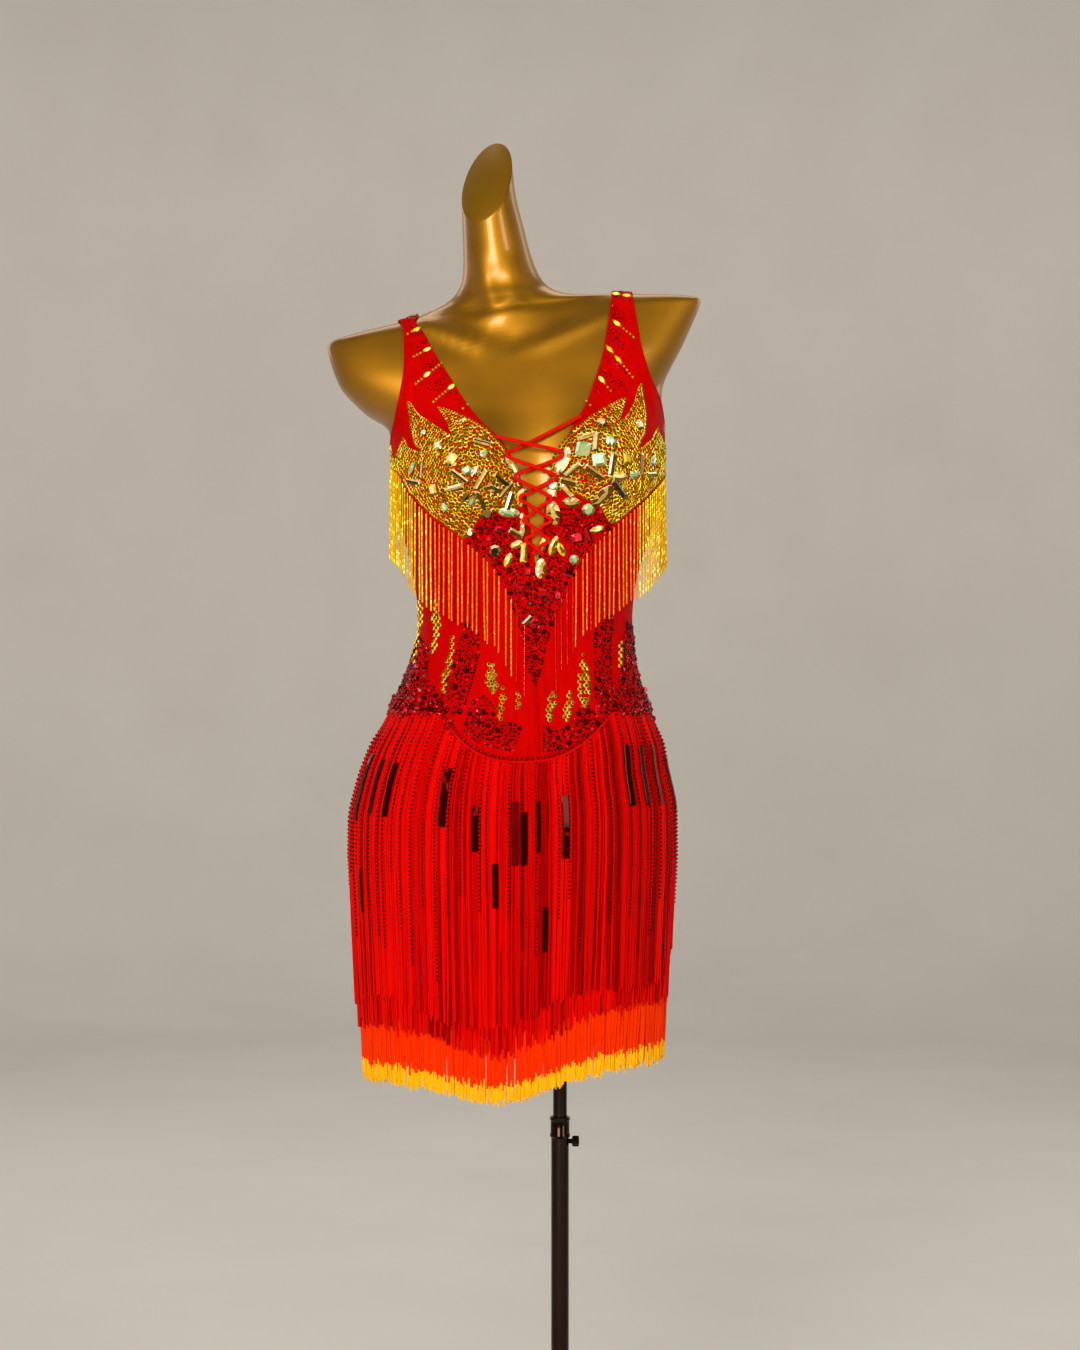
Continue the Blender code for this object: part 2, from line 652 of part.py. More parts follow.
def make_skirt(bm):
    """The short stretch skirt that carries the fringes: a tube below the hip seam."""
    quarters = [panel_places(*which)[0, :, 0] for which in (
        (FRONT_LEFT, 1, False), (BACK_LEFT, 1, True), (BACK_RIGHT, -1, True), (FRONT_RIGHT, -1, False),
    )]
    thetas = np.unique(np.round(np.concatenate(quarters) % (2 * math.pi), 9))
    top = seam_height(thetas) - SEAM_GAP
    share = np.linspace(0, 1, SKIRT_ROWS + 1)[:, None]
    heights = top * (1 - share) + SKIRT_BOTTOM * share
    v = v_for(thetas[None], heights)
    theta = np.broadcast_to(thetas, v.shape)
    outs = fitted(theta, v, CLOTH_OFF_FORM, closed=True)
    grids = []
    for out in (outs, outs + CLOTH):
        verts = grid_verts(bm, above_form(theta, v, out))
        skin(bm, verts, closed=True)
        grids.append(verts)
    for row in (0, -1):
        bridge(bm, grids[0][row], grids[1][row])


# ------------------------------------------------------------ what lies on the cloth
def cloth_tree():
    """The panels and the skirt as one tree of triangles, to find the cloth's surface in."""
    verts, faces = [], []
    for piece in CLOTH_PIECES:
        first = len(verts)
        verts += [v.co.copy() for v in piece.data.vertices]
        faces += [[first + i for i in p.vertices] for p in piece.data.polygons]
    return BVHTree.FromPolygons(verts, faces)


def over_cloth(theta, v, out):
    """A point at a distance out from the cloth's outer face, or from where it would be."""
    normal = Vector(form_normal(theta, v))
    start = Vector(above_form(theta, v, 0.03))
    hit = CLOTH_TREE.ray_cast(start, -normal, 0.0285)[0]
    if hit is None:
        hit = Vector(above_form(theta, v, CLOTH_OUTSIDE + REST_GAP))
    return np.array(hit + normal * float(out))


# ------------------------------------------------------------ the fringes
def tape_section(theta, v_top, v_bottom, gap):
    """A tape's section on the cloth: inner top, outer top, outer bottom, inner bottom."""
    return [
        over_cloth(theta, v_top, gap), over_cloth(theta, v_top, gap + TAPE),
        over_cloth(theta, v_bottom, gap + TAPE), over_cloth(theta, v_bottom, gap),
    ]


def comb(bm, stations, closed, locks):
    """A tape with locks hanging from it.

    A station is the tape's section: inner top, outer top, outer bottom, inner bottom.
    Every other stretch between stations carries a lock. locks gives, for such a
    stretch, the four points of the lock at each level below the tape.
    """
    verts = grid_verts(bm, stations)
    count = len(verts)
    bottoms = {}
    for i in range(count if closed else count - 1):
        one, other = verts[i], verts[(i + 1) % count]
        for a in range(4):
            b = (a + 1) % 4
            face = bm.faces.new((one[a], one[b], other[b], other[a]))
            if a == 2:
                bottoms[i] = face
    if not closed:
        bm.faces.new(verts[0])
        bm.faces.new(verts[-1])
    bmesh.ops.recalc_face_normals(bm, faces=bm.faces)
    for i, levels in locks.items():
        face = bottoms[i]
        order = [verts[i][2], verts[i][3], verts[(i + 1) % count][3], verts[(i + 1) % count][2]]
        turn = [list(face.verts).index(v) for v in order]
        for points in levels:
            face = bmesh.ops.extrude_discrete_faces(bm, faces=[face])["faces"][0]
            corners = list(face.verts)
            for k, point in zip(turn, points):
                corners[k].co = point


def lock_angles(count):
    """Angles of the stations round the hips: lock, gap, lock, gap."""
    pitch = 2 * math.pi / count
    starts = np.arange(count) * pitch
    return np.sort(np.concatenate([starts, starts + pitch * LOCK_SHARE]))


def ends_height(ends, theta):
    """Height of a fringe's ends at an angle round the body."""
    level, slope, dip = ends
    x = form_point(theta, v_at(HIP_LEVEL))[..., 0]
    round_dip = np.exp(-(((x - DIP_MIDDLE) / DIP_SPREAD) ** 2)) * ramp(np.cos(theta), 0.0, 0.3)
    return level + slope * x - dip * round_dip


def drawn_in(x, y, z, top):
    """x and y moved towards the middle of the hips, by as much as the fall draws in from top down to z."""
    centre = BODY(v_at(HIP_LEVEL))[CENTRE_X]
    draw = 1 - FALL_TAPER * max(0.0, top - z)
    return centre + (x - centre) * draw, y * draw, z


def falling(theta, z, out):
    """A point of the fringe's fall: on the body down to the widest level, then plumb."""
    x, y, _ = over_cloth(theta, float(v_for(theta, max(z, HIP_LEVEL))), out)
    return drawn_in(x, y, z, HIP_LEVEL)


def hip_stations(thetas, top, depth):
    """Sections of a tape round the hips, from the heights of its upper edge."""
    return [
        tape_section(theta, float(v_for(theta, z)), float(v_for(theta, z - depth)), HIP_TAPE_GAP)
        for theta, z in zip(thetas, top)
    ]


def make_upper_fringe(bm):
    """The long red fringe, sewn just below the hip seam."""
    thetas = lock_angles(UPPER_LOCKS)
    stations = hip_stations(thetas, seam_height(thetas) - UPPER_TAPE_DROP, UPPER_TAPE_DEPTH)
    locks = {}
    for i in range(0, len(thetas), 2):
        pair = thetas[i], thetas[i + 1]
        end = float(ends_height(UPPER_ENDS, pair[0]))
        start = min(stations[i][2][2], stations[i + 1][2][2])
        levels = [(start + (HIP_LEVEL - start) * share, out) for share, out in UPPER_LEVELS]
        levels += [(HIP_LEVEL, UPPER_FALL), (end, UPPER_FALL)]
        locks[i] = [lock_points(pair, z, out) for z, out in levels]
    comb(bm, stations, True, locks)


def lock_points(pair, z, out):
    """Four corners of a lock at one height: near and far sides at both of its edges."""
    one, other = pair
    return [
        falling(one, z, out + TAPE), falling(one, z, out),
        falling(other, z, out), falling(other, z, out + TAPE),
    ]


def make_lower_fringe(bm):
    """The fringe under it, which ends lower, in orange and yellow."""
    thetas = lock_angles(LOWER_LOCKS)
    stations = hip_stations(thetas, np.full(len(thetas), LOWER_TAPE_TOP), LOWER_TAPE_DEPTH)
    locks = {}
    for i in range(0, len(thetas), 2):
        end = float(ends_height(LOWER_ENDS, thetas[i]))
        corners = [stations[i][2], stations[i][3], stations[i + 1][3], stations[i + 1][2]]
        locks[i] = [[drawn_in(x, y, end, LOWER_TAPE_TOP) for x, y, _ in corners]]
    comb(bm, stations, True, locks)


def bust_line(rows, side):
    """theta and v along the gold fringe's tape, at its stations."""
    places = [place(x, z) for x, z in rows]
    end_theta, end_z = BUST_END
    places.append((side * end_theta, float(v_for(side * end_theta, end_z))))
    places = np.array(places)
    steps = np.linalg.norm(np.diff(places, axis=0) * (0.12, 1.0), axis=1)
    knots = np.concatenate([[0], np.cumsum(steps)])
    pitch = knots[-1] / (BUST_LOCKS - 1 + LOCK_SHARE)
    starts = np.arange(BUST_LOCKS) * pitch
    return Curve(knots, places)(np.sort(np.concatenate([starts, starts + pitch * LOCK_SHARE])))


def hanging(point, z, out, lying):
    """A point plumb below another, or on the front of the cloth where that stands out further."""
    x, y = point[:2]
    if lying:
        y = min(y, over_cloth(*place(x, z), out)[1])
    return x, y, z


def bust_fringe(name, rows, side):
    """Gold strands on one side, from beside the front seam round under the cup."""
    line = bust_line(rows, side)
    stations = [tape_section(theta, v, v - BUST_TAPE_DEPTH, BUST_TAPE_GAP) for theta, v in line]
    near, far = REST_GAP + BUST_OFF, REST_GAP + BUST_OFF + TAPE
    locks = {}
    for i in range(0, len(stations), 2):
        share = i / len(stations)
        drop = BUST_DROP_FRONT + (BUST_DROP - BUST_DROP_FRONT) * min(1.0, 2.5 * share)
        corners = [stations[i][2], stations[i][3], stations[i + 1][3], stations[i + 1][2]]
        z = min(c[2] for c in corners)
        lying = abs(line[i, 0]) < LYING_THETA
        locks[i] = [
            [hanging(c, z - fall * drop, out, lying) for c, out in zip(corners, (far, near, near, far))]
            for fall in (0.5, 1.0)
        ]
    part(name, lambda bm: comb(bm, stations, False, locks), BEAD_GOLD)


# ------------------------------------------------------------ the lacing
def edge_x(front, height):
    """x of a front's neckline edge at a height."""
    rows = FRONT_RIGHT if front == "right" else FRONT_LEFT
    table = np.array([(r[1], r[0]) for r in rows if r[1] is not RIDGE])
    return float(np.interp(height, table[:, 0], table[:, 1]))


def on_cloth(x, z):
    """Middle of a cord that lies on the front of the dress at x, z."""
    return over_cloth(*place(x, z), LACE_LIFT + CORD / 2)


def turn_points(front, height):
    """The arc of a cord's turn, from its upper leg to its lower one."""
    away = -1 if front == "right" else 1
    middle = edge_x(front, height) + away * LACE_OVERLAP
    angles = np.linspace(math.pi / 2, -math.pi / 2, TURN_STEPS)
    return [on_cloth(middle + away * LACE_TURN * math.cos(a), height + LACE_TURN * math.sin(a)) for a in angles]


def crossing(one, other):
    """Where two stretches of cord cross, seen from the front, as a share of the first."""
    (ax, _, az), (bx, _, bz) = one
    (cx, _, cz), (dx, _, dz) = other
    across = (bx - ax) * (dz - cz) - (bz - az) * (dx - cx)
    return ((cx - ax) * (dz - cz) - (cz - az) * (dx - cx)) / across


def lace_route(own, other, on_top):
    """Points of one cord. Between turns it is straight, or arched over the other cord."""
    mine = [turn_points(*turn) for turn in own]
    theirs = [turn_points(*turn) for turn in other]
    route = [mine[0][-1]]
    for i in range(len(mine) - 1):
        leave, arrive = mine[i][-1], mine[i + 1][0]
        if on_top == (i % 2 == 0):
            share = crossing((leave, arrive), (theirs[i][-1], theirs[i + 1][0]))
            their_share = crossing((theirs[i][-1], theirs[i + 1][0]), (leave, arrive))
            meet = leave + (arrive - leave) * share
            under = theirs[i][-1] + (theirs[i + 1][0] - theirs[i][-1]) * their_share
            meet[1] = min(meet[1], under[1] - CORD - REST_GAP * 2)
            route.append(meet)
        route.extend(mine[i + 1])
    return route[: 1 - TURN_STEPS]


def smooth_route(route):
    """Evenly spaced points of a smooth curve through the route's own points."""
    route = np.array(route)
    knots = np.concatenate([[0], np.cumsum(np.linalg.norm(np.diff(route, axis=0), axis=1))])
    tangents = np.gradient(route, knots, axis=0)
    curve = Curve(knots, route)
    curve.slopes = tangents
    return curve(np.linspace(0, knots[-1], LACE_POINTS))


def lace(name, own, other, on_top):
    curve = bpy.data.curves.new(name, "CURVE")
    curve.dimensions = "3D"
    curve.bevel_depth = CORD / 2
    curve.bevel_resolution = 2
    curve.use_fill_caps = True
    route = smooth_route(lace_route(own, other, on_top))
    spline = curve.splines.new("POLY")
    spline.points.add(len(route) - 1)
    for point, (x, y, z) in zip(spline.points, route):
        point.co = (x, y, z, 1)
    curve.materials.append(material(RED))
    made = bpy.data.objects.new(name, curve)
    DRESS.objects.link(made)
    return made


# ------------------------------------------------------------ the stand
def rod(name, radius, bottom, top, finish=METAL, end_radius=None):
    """A round upright piece on the stand's axis."""
    def make(bm):
        bmesh.ops.create_cone(
            bm,
            cap_ends=True,
            segments=ROUND_SIDES,
            radius1=radius,
            radius2=end_radius or radius,
            depth=top - bottom,
        )
    made = part(name, make, finish)
    made.location.z = (bottom + top) / 2
    return made


def cutter(name, radius, bottom, top):
    made = rod(name, radius, bottom, top)
    DRESS.objects.unlink(made)
    CUTTERS.objects.link(made)
    made.hide_render = True
    made.display_type = "WIRE"
    return made


def cut(target, tool):
    change = target.modifiers.new("cut", "BOOLEAN")
    change.operation = "DIFFERENCE"
    change.object = tool


def make_stand():
    plate = rod("stand_base", BASE_RADIUS, 0, BASE_THICKNESS)
    edge = plate.modifiers.new("edge", "BEVEL")
    edge.width = 0.002
    edge.segments = 2
    edge.limit_method = "ANGLE"
    hub_bottom = BASE_THICKNESS + REST_GAP
    hub = rod("stand_hub", HUB_RADIUS, hub_bottom, hub_bottom + HUB_HEIGHT, end_radius=HUB_RADIUS * 0.7)
    tube_bottom = hub_bottom + 0.006
    cut(hub, cutter("hub_bore", TUBE_RADIUS + REST_GAP, tube_bottom - REST_GAP, 0.2))
    tube = rod("stand_tube", TUBE_RADIUS, tube_bottom, TUBE_TOP)
    cut(tube, cutter("tube_bore", TUBE_BORE, tube_bottom + 0.01, TUBE_TOP + 0.05))
    hole = cutter("screw_hole", SCREW_RADIUS + SCREW_CLEARANCE, 0, 0.03)
    hole.rotation_euler.y = math.pi / 2
    hole.location = (0.015, 0, SCREW_HEIGHT)
    cut(tube, hole)
    rod("stand_mast", MAST_RADIUS, MAST_BOTTOM, FORM_BOTTOM - REST_GAP)
    socket_top = FORM_BOTTOM - REST_GAP
    socket = rod("form_socket", SOCKET_RADIUS, socket_top - SOCKET_HEIGHT, socket_top, end_radius=SOCKET_RADIUS * 1.5)
    cut(socket, cutter("socket_bore", MAST_RADIUS + REST_GAP, 0.3, 1.0))
    make_screw()


def make_screw():
    """The clamp screw, on an axis along X: a stem that meets the mast and a ribbed knob."""
    tip = MAST_RADIUS + REST_GAP
    profile = (
        (tip, SCREW_RADIUS), (KNOB_START, SCREW_RADIUS), (KNOB_START, KNOB_RADIUS * 0.85),
        (KNOB_START + 0.001, KNOB_RADIUS), (KNOB_END - 0.001, KNOB_RADIUS), (KNOB_END, KNOB_RADIUS * 0.8),
    )

    def make(bm):
        angles = np.linspace(0, 2 * math.pi, 16, endpoint=False)
        rings = [[(x - KNOB_START, r * math.cos(a), r * math.sin(a)) for a in angles] for x, r in profile]
        verts = grid_verts(bm, rings)
        skin(bm, verts, closed=True)
        bm.faces.new(verts[0])
        bm.faces.new(verts[-1])

    made = part("clamp_screw", make, METAL)
    made.location = (KNOB_START, 0, SCREW_HEIGHT)


# ------------------------------------------------------------ the whole object
def make_cloth():
    return [
        panel("front_right", FRONT_RIGHT, -1, False, STONES_RIGHT),
        panel("front_left", FRONT_LEFT, 1, False, STONES_LEFT),
        panel("back_right", BACK_RIGHT, -1, True),
        panel("back_left", BACK_LEFT, 1, True),
        part("skirt_base", make_skirt, RED),
    ]


def make_trimmings():
    part("fringe_upper", make_upper_fringe, FRINGE_RED)
    part("fringe_lower", make_lower_fringe, ORANGE)
    bust_fringe("fringe_bust_right", BUST_LINE_RIGHT, -1)
    bust_fringe("fringe_bust_left", BUST_LINE_LEFT, 1)
    lace("lace_a", LACE_A, LACE_B, True)
    lace("lace_b", LACE_B, LACE_A, False)


FORM_BOTTOM = SECTIONS[0][0]
fresh_file()
DRESS = collection("salsa_dress_on_form")
CUTTERS = collection("cutters")
part("form_torso", make_form, GOLD)
CLOTH_PIECES = make_cloth()
CLOTH_TREE = cloth_tree()
make_trimmings()
make_stand()
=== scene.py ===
"""A salsa dance dress on a gold dress form: every finish and fine piece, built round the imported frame.

Metres, +Z up. The dress faces -Y, the wearer's right side is at -X. A place on the body is
theta, the angle round it from the front (0) through the wearer's left side (+90 degrees)
to the back (180), and v, the distance up its surface.
"""

import math

import bmesh
import bpy
import numpy as np
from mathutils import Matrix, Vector


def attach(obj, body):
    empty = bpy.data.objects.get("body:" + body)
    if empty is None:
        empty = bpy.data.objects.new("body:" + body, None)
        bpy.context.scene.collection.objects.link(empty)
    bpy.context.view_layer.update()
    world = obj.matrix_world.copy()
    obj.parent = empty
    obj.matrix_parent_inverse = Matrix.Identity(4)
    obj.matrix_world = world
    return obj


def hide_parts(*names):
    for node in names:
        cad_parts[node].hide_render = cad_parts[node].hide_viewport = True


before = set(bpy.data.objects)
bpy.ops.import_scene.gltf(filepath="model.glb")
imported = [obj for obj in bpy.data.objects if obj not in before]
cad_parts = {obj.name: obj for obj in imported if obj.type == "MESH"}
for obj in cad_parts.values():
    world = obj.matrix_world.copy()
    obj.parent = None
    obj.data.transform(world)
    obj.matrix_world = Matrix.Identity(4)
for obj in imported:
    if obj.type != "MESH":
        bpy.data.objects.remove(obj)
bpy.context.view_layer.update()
rng = np.random.default_rng(11)

# ------------------------------------------------------------ sizes shared with the frame
SEAM_GAP = 0.0005
CLOTH_OFF_FORM = 0.0008
CLOTH_OUTSIDE = 0.0023  # the cloth's outer face above the form
MEAN_RADIUS = 0.12  # of the body: an angle round it times this is a length
PLACE_SCALE = (MEAN_RADIUS, 1.0)  # turns steps of theta and v into lengths
COLUMNS = "height centre_x centre_y half_width front back square yaw roll".split()
SECTIONS = (
    (0.660, -0.050, 0.004, 0.150, 0.092, 0.100, 2.2, 12, 0),
    (0.720, -0.051, 0.002, 0.166, 0.098, 0.109, 2.2, 13, 0),
    (0.780, -0.0515, 0.000, 0.1755, 0.102, 0.117, 2.2, 14, 0),
    (0.835, -0.0515, 0.000, 0.1750, 0.103, 0.119, 2.2, 14, 1),
    (0.876, -0.0520, 0.000, 0.1665, 0.102, 0.113, 2.2, 14, 2),
    (0.910, -0.0490, 0.000, 0.1575, 0.101, 0.104, 2.2, 14, 2),
    (0.944, -0.0460, 0.000, 0.1460, 0.098, 0.095, 2.2, 14, 2),
    (0.977, -0.0445, 0.000, 0.1350, 0.094, 0.087, 2.2, 12, 1),
    (1.011, -0.0415, 0.000, 0.1240, 0.089, 0.082, 2.2, 10, 1),
    (1.056, -0.0385, 0.000, 0.1175, 0.085, 0.080, 2.2, 8, 1),
    (1.090, -0.0385, 0.000, 0.1205, 0.085, 0.082, 2.2, 7, 1),
    (1.130, -0.0370, 0.001, 0.1300, 0.088, 0.087, 2.2, 6, 1),
    (1.175, -0.0360, 0.002, 0.1420, 0.092, 0.093, 2.3, 5, 2),
    (1.215, -0.0355, 0.004, 0.1500, 0.094, 0.097, 2.4, 4, 3),
    (1.250, -0.0360, 0.006, 0.1510, 0.092, 0.099, 2.5, 3, 5),
    (1.286, -0.0390, 0.008, 0.1530, 0.086, 0.097, 2.6, 3, 7),
    (1.309, -0.0500, 0.009, 0.1700, 0.081, 0.093, 2.8, 3, 7),
    (1.342, -0.0545, 0.010, 0.1930, 0.071, 0.084, 3.0, 3, 7),
    (1.388, -0.0510, 0.012, 0.2095, 0.050, 0.062, 3.0, 2, 7),
    (1.4045, -0.0470, 0.014, 0.1380, 0.043, 0.053, 2.6, 1, 7),
    (1.4120, -0.0600, 0.015, 0.0830, 0.044, 0.052, 2.3, 0, 6),
    (1.4225, -0.0645, 0.015, 0.0565, 0.0475, 0.052, 2.0, 0, 5),
    (1.4380, -0.0665, 0.013, 0.0442, 0.0495, 0.050, 2.0, 0, 4),
    (1.4600, -0.0700, 0.010, 0.0386, 0.046, 0.047, 2.0, 0, 3),
    (1.4980, -0.0755, 0.004, 0.0340, 0.043, 0.044, 2.0, 0, 1),
    (1.5370, -0.0805, -0.002, 0.0300, 0.040, 0.041, 2.0, 0, 0),
    (1.6300, -0.0840, -0.014, 0.0255, 0.034, 0.035, 2.0, 0, 0),
)
BUMPS = (
    (-0.104, 1.206, 0.036, 0.044, 0.062, 0.040),  # right cup
    (0.046, 1.209, 0.036, 0.044, 0.062, 0.040),  # left cup
    (-0.058, 1.359, -0.009, 0.011, 0.014, 0.014),  # hollow between the collar bones
    (-0.061, 1.403, 0.0165, 0.030, 0.021, 0.025),  # the neck runs down in front of the shoulders
)
RIDGES = (
    (-0.072, 1.350, -0.150, 1.384, 0.0060, 0.009),  # right collar bone
    (-0.042, 1.348, 0.052, 1.394, 0.0060, 0.009),  # left collar bone
    (-0.066, 1.368, -0.090, 1.450, 0.0040, 0.010),  # right tendon of the neck
    (-0.049, 1.370, -0.050, 1.450, 0.0040, 0.010),  # left tendon of the neck
)
NECK_CUT_POINT = (-0.0795, -0.004, 1.5475)
NECK_CUT_SLOPE = (0.87, 1.41)

# Soft creases of the stretched cloth, in the front: from x, z to x, z, height and spread.
CREASES_FRONT = (
    (-0.0350, 0.900, -0.0345, 0.990, 0.0018, 0.0050),  # the centre seam lies in a valley
    (-0.0165, 0.900, -0.0180, 0.990, 0.0018, 0.0050),
    (-0.179, 1.275, -0.176, 1.395, 0.0012, 0.0035),  # lengthwise folds of the right strap
    (-0.170, 1.262, -0.168, 1.380, 0.0009, 0.0040),
    (-0.160, 1.330, -0.166, 1.405, 0.0008, 0.0030),
    (0.104, 1.285, 0.080, 1.385, 0.0010, 0.0035),  # and of the left strap
    (0.092, 1.270, 0.074, 1.370, 0.0008, 0.0040),
    (-0.152, 1.252, -0.176, 1.224, 0.0010, 0.0060),  # drag lines from the armholes
    (0.090, 1.262, 0.112, 1.232, 0.0010, 0.0060),
    (-0.120, 1.060, -0.152, 1.040, 0.0008, 0.0070),  # and at the waist
    (0.040, 1.050, 0.074, 1.030, 0.0008, 0.0070),
    (-0.070, 1.000, -0.105, 0.985, 0.0007, 0.0060),
)
CREASES_BACK = (
    (-0.045, 1.000, -0.110, 1.040, 0.0011, 0.0080),  # small of the back
    (-0.040, 1.030, -0.130, 1.075, 0.0009, 0.0090),
    (-0.045, 1.005, 0.020, 1.045, 0.0010, 0.0080),
    (-0.050, 1.045, 0.045, 1.090, 0.0008, 0.0090),
    (-0.150, 1.180, -0.120, 1.225, 0.0009, 0.0060),
    (0.070, 1.185, 0.045, 1.225, 0.0010, 0.0060),
    (-0.165, 1.300, -0.168, 1.380, 0.0008, 0.0040),
    (0.078, 1.310, 0.072, 1.385, 0.0008, 0.0040),
)

# Rows of gold stones across the straps: from x, z to x, z, how many, and which of them are leaf cut.
STRAP_ROWS = {
    "right": (
        (-0.179, 1.391, -0.1605, 1.393, 7, ()), (-0.168, 1.369, -0.154, 1.377, 4, (2,)),
        (-0.1606, 1.3426, -0.1429, 1.3527, 6, (4,)), (-0.158, 1.3123, -0.130, 1.335, 10, (4,)),
        (-0.138, 1.292, -0.116, 1.3105, 8, (6,)), (-0.106, 1.283, -0.101, 1.288, 2, ()),
    ),
    "left": (
        (0.062, 1.4156, 0.078, 1.413, 5, (0, 3)), (0.0587, 1.3846, 0.080, 1.366, 7, (1,)),
        (0.0508, 1.355, 0.078, 1.3215, 10, (1, 4)), (0.0445, 1.317, 0.054, 1.304, 4, (0,)),
        (0.028, 1.292, 0.032, 1.287, 2, ()),
    ),
}
TUCK_DROP, TUCK_HEIGHT, TUCK_SPREAD = 0.0070, 0.0024, 0.0024
STRAP_TUCKS = [  # a short tuck lies below each row of stones
    (x0, z0 - TUCK_DROP, x1, z1 - TUCK_DROP, TUCK_HEIGHT, TUCK_SPREAD)
    for side_rows in STRAP_ROWS.values() for x0, z0, x1, z1, *_ in side_rows
]

SIDE = None
RIDGE = None
SIDE_THETA = math.radians(90)
UNDERARM = 1.246
HIP_SEAM = 0.956
BOTTOM_OF_LACING = (-0.026, 1.097)
FRONT_SEAM = (
    (-0.0225, 0.904, SIDE, HIP_SEAM),
    (-0.0260, 1.032, SIDE, 1.056),
    (*BOTTOM_OF_LACING, SIDE, 1.125),
)
FRONT_RIGHT = FRONT_SEAM + (
    (-0.031, 1.135, SIDE, 1.165),
    (-0.036, 1.173, SIDE, 1.200),
    (-0.044, 1.205, SIDE, 1.225),
    (-0.055, 1.232, SIDE, UNDERARM),
    (-0.069, 1.252, -0.186, 1.262),
    (-0.084, 1.266, -0.182, 1.277),
    (-0.1055, 1.294, -0.1755, 1.303),
    (-0.1225, 1.322, -0.1715, 1.333),
    (-0.1435, 1.357, -0.1725, 1.364),
    (-0.1585, RIDGE, -0.181, RIDGE),
)
FRONT_LEFT = FRONT_SEAM + (
    (-0.020, 1.141, SIDE, 1.165),
    (-0.016, 1.184, SIDE, 1.203),
    (-0.008, 1.216, SIDE, 1.228),
    (0.003, 1.243, SIDE, UNDERARM),
    (0.016, 1.268, 0.116, 1.274),
    (0.0275, 1.288, 0.1105, 1.299),
    (0.0355, 1.311, 0.1005, 1.321),
    (0.0440, 1.337, 0.0915, 1.346),
    (0.0510, 1.372, 0.0855, 1.378),
    (0.0580, RIDGE, 0.0800, RIDGE),
)
BACK_SEAM_X = -0.045
BACK_SEAM = (
    (BACK_SEAM_X, HIP_SEAM, SIDE, HIP_SEAM),
    (BACK_SEAM_X, 1.056, SIDE, 1.056),
    (BACK_SEAM_X, 1.125, SIDE, 1.125),
    (BACK_SEAM_X, 1.170, SIDE, 1.190),
)
BACK_RIGHT = BACK_SEAM + (
    (-0.072, 1.186, SIDE, UNDERARM),
    (-0.105, 1.222, -0.178, 1.266),
    (-0.128, 1.272, -0.173, 1.300),
    (-0.145, 1.322, -0.172, 1.338),
    (-0.154, 1.365, -0.177, 1.372),
    (-0.1585, RIDGE, -0.181, RIDGE),
)
BACK_LEFT = BACK_SEAM + (
    (-0.014, 1.186, SIDE, UNDERARM),
    (0.018, 1.222, 0.104, 1.272),
    (0.036, 1.280, 0.092, 1.308),
    (0.048, 1.335, 0.086, 1.350),
    (0.055, 1.385, 0.082, 1.392),
    (0.0580, RIDGE, 0.0800, RIDGE),
)
PANEL_COLUMNS, PANEL_ROWS = 48, 160
ROW_SHARES, ROW_PLACES = (0, 0.55, 1), (0, 0.72, 1)  # closer rows on the strap
STRAP_FROM_FRONT, STRAP_FROM_BACK = -7, -6  # the row of places from which x leads
CLOTH_SHARP = 60
EDGE_FOLD = 0.0005  # how far the cloth's turned edge stands out
POINT_X, POINT_HALF_WIDTH, POINT_DEPTH, POINT_LEVEL = -0.0395, 0.098, 0.052, 0.93
POINT_FULLNESS, POINT_SHARPNESS = 2.5, 1.2  # exponents of its outline
SKIRT_BOTTOM = 0.715

HIP_LEVEL = 0.790
FALL_TAPER = 0.27
LOWER_TAPE_TOP = 0.748
BUST_LINE_RIGHT = (
    (-0.036, 1.042), (-0.047, 1.064), (-0.058, 1.086), (-0.070, 1.108), (-0.093, 1.132),
    (-0.116, 1.151), (-0.139, 1.168), (-0.163, 1.194), (-0.176, 1.217),
)
BUST_LINE_LEFT = (
    (-0.010, 1.052), (-0.002, 1.075), (0.010, 1.098), (0.022, 1.121), (0.044, 1.146),
    (0.067, 1.168), (0.091, 1.189), (0.107, 1.207),
)
BUST_END = (math.radians(104), 1.232)
LYING_THETA = math.radians(60)

CORD = 0.0044
LACE_OVERLAP, LACE_TURN, LACE_LIFT = 0.0030, 0.0034, 0.0018
LACE_A = (
    ("right", 1.253), ("left", 1.231), ("right", 1.208), ("left", 1.186),
    ("right", 1.163), ("left", 1.141), ("right", 1.122),
)
LACE_B = (
    ("left", 1.276), ("right", 1.231), ("left", 1.208), ("right", 1.186),
    ("left", 1.163), ("right", 1.141), ("left", 1.122),
)

BASE_RADIUS, BASE_THICKNESS = 0.160, 0.008
HUB_BOTTOM, HUB_RADIUS, HUB_HEIGHT = 0.0085, 0.024, 0.032
TUBE_RADIUS, TUBE_BORE, TUBE_BOTTOM, TUBE_TOP = 0.0100, 0.0083, 0.0145, 0.500
MAST_RADIUS, MAST_BOTTOM, MAST_TOP = 0.0078, 0.270, 0.6595
BORE_BOTTOM = 0.155  # below the mast's end when it is pushed right down
SOCKET_RADIUS, SOCKET_HEIGHT = 0.022, 0.034
SCREW_HEIGHT, SCREW_RADIUS = 0.472, 0.0028
KNOB_RADIUS, KNOB_START, KNOB_END = 0.0060, 0.0135, 0.0215


# ------------------------------------------------------------ finishes
def paint(code):
    """An sRGB hex colour as a linear one."""
    parts = [int(code[i : i + 2], 16) / 255 for i in (0, 2, 4)]
    return (*(c / 12.92 if c <= 0.04045 else ((c + 0.055) / 1.055) ** 2.4 for c in parts), 1.0)


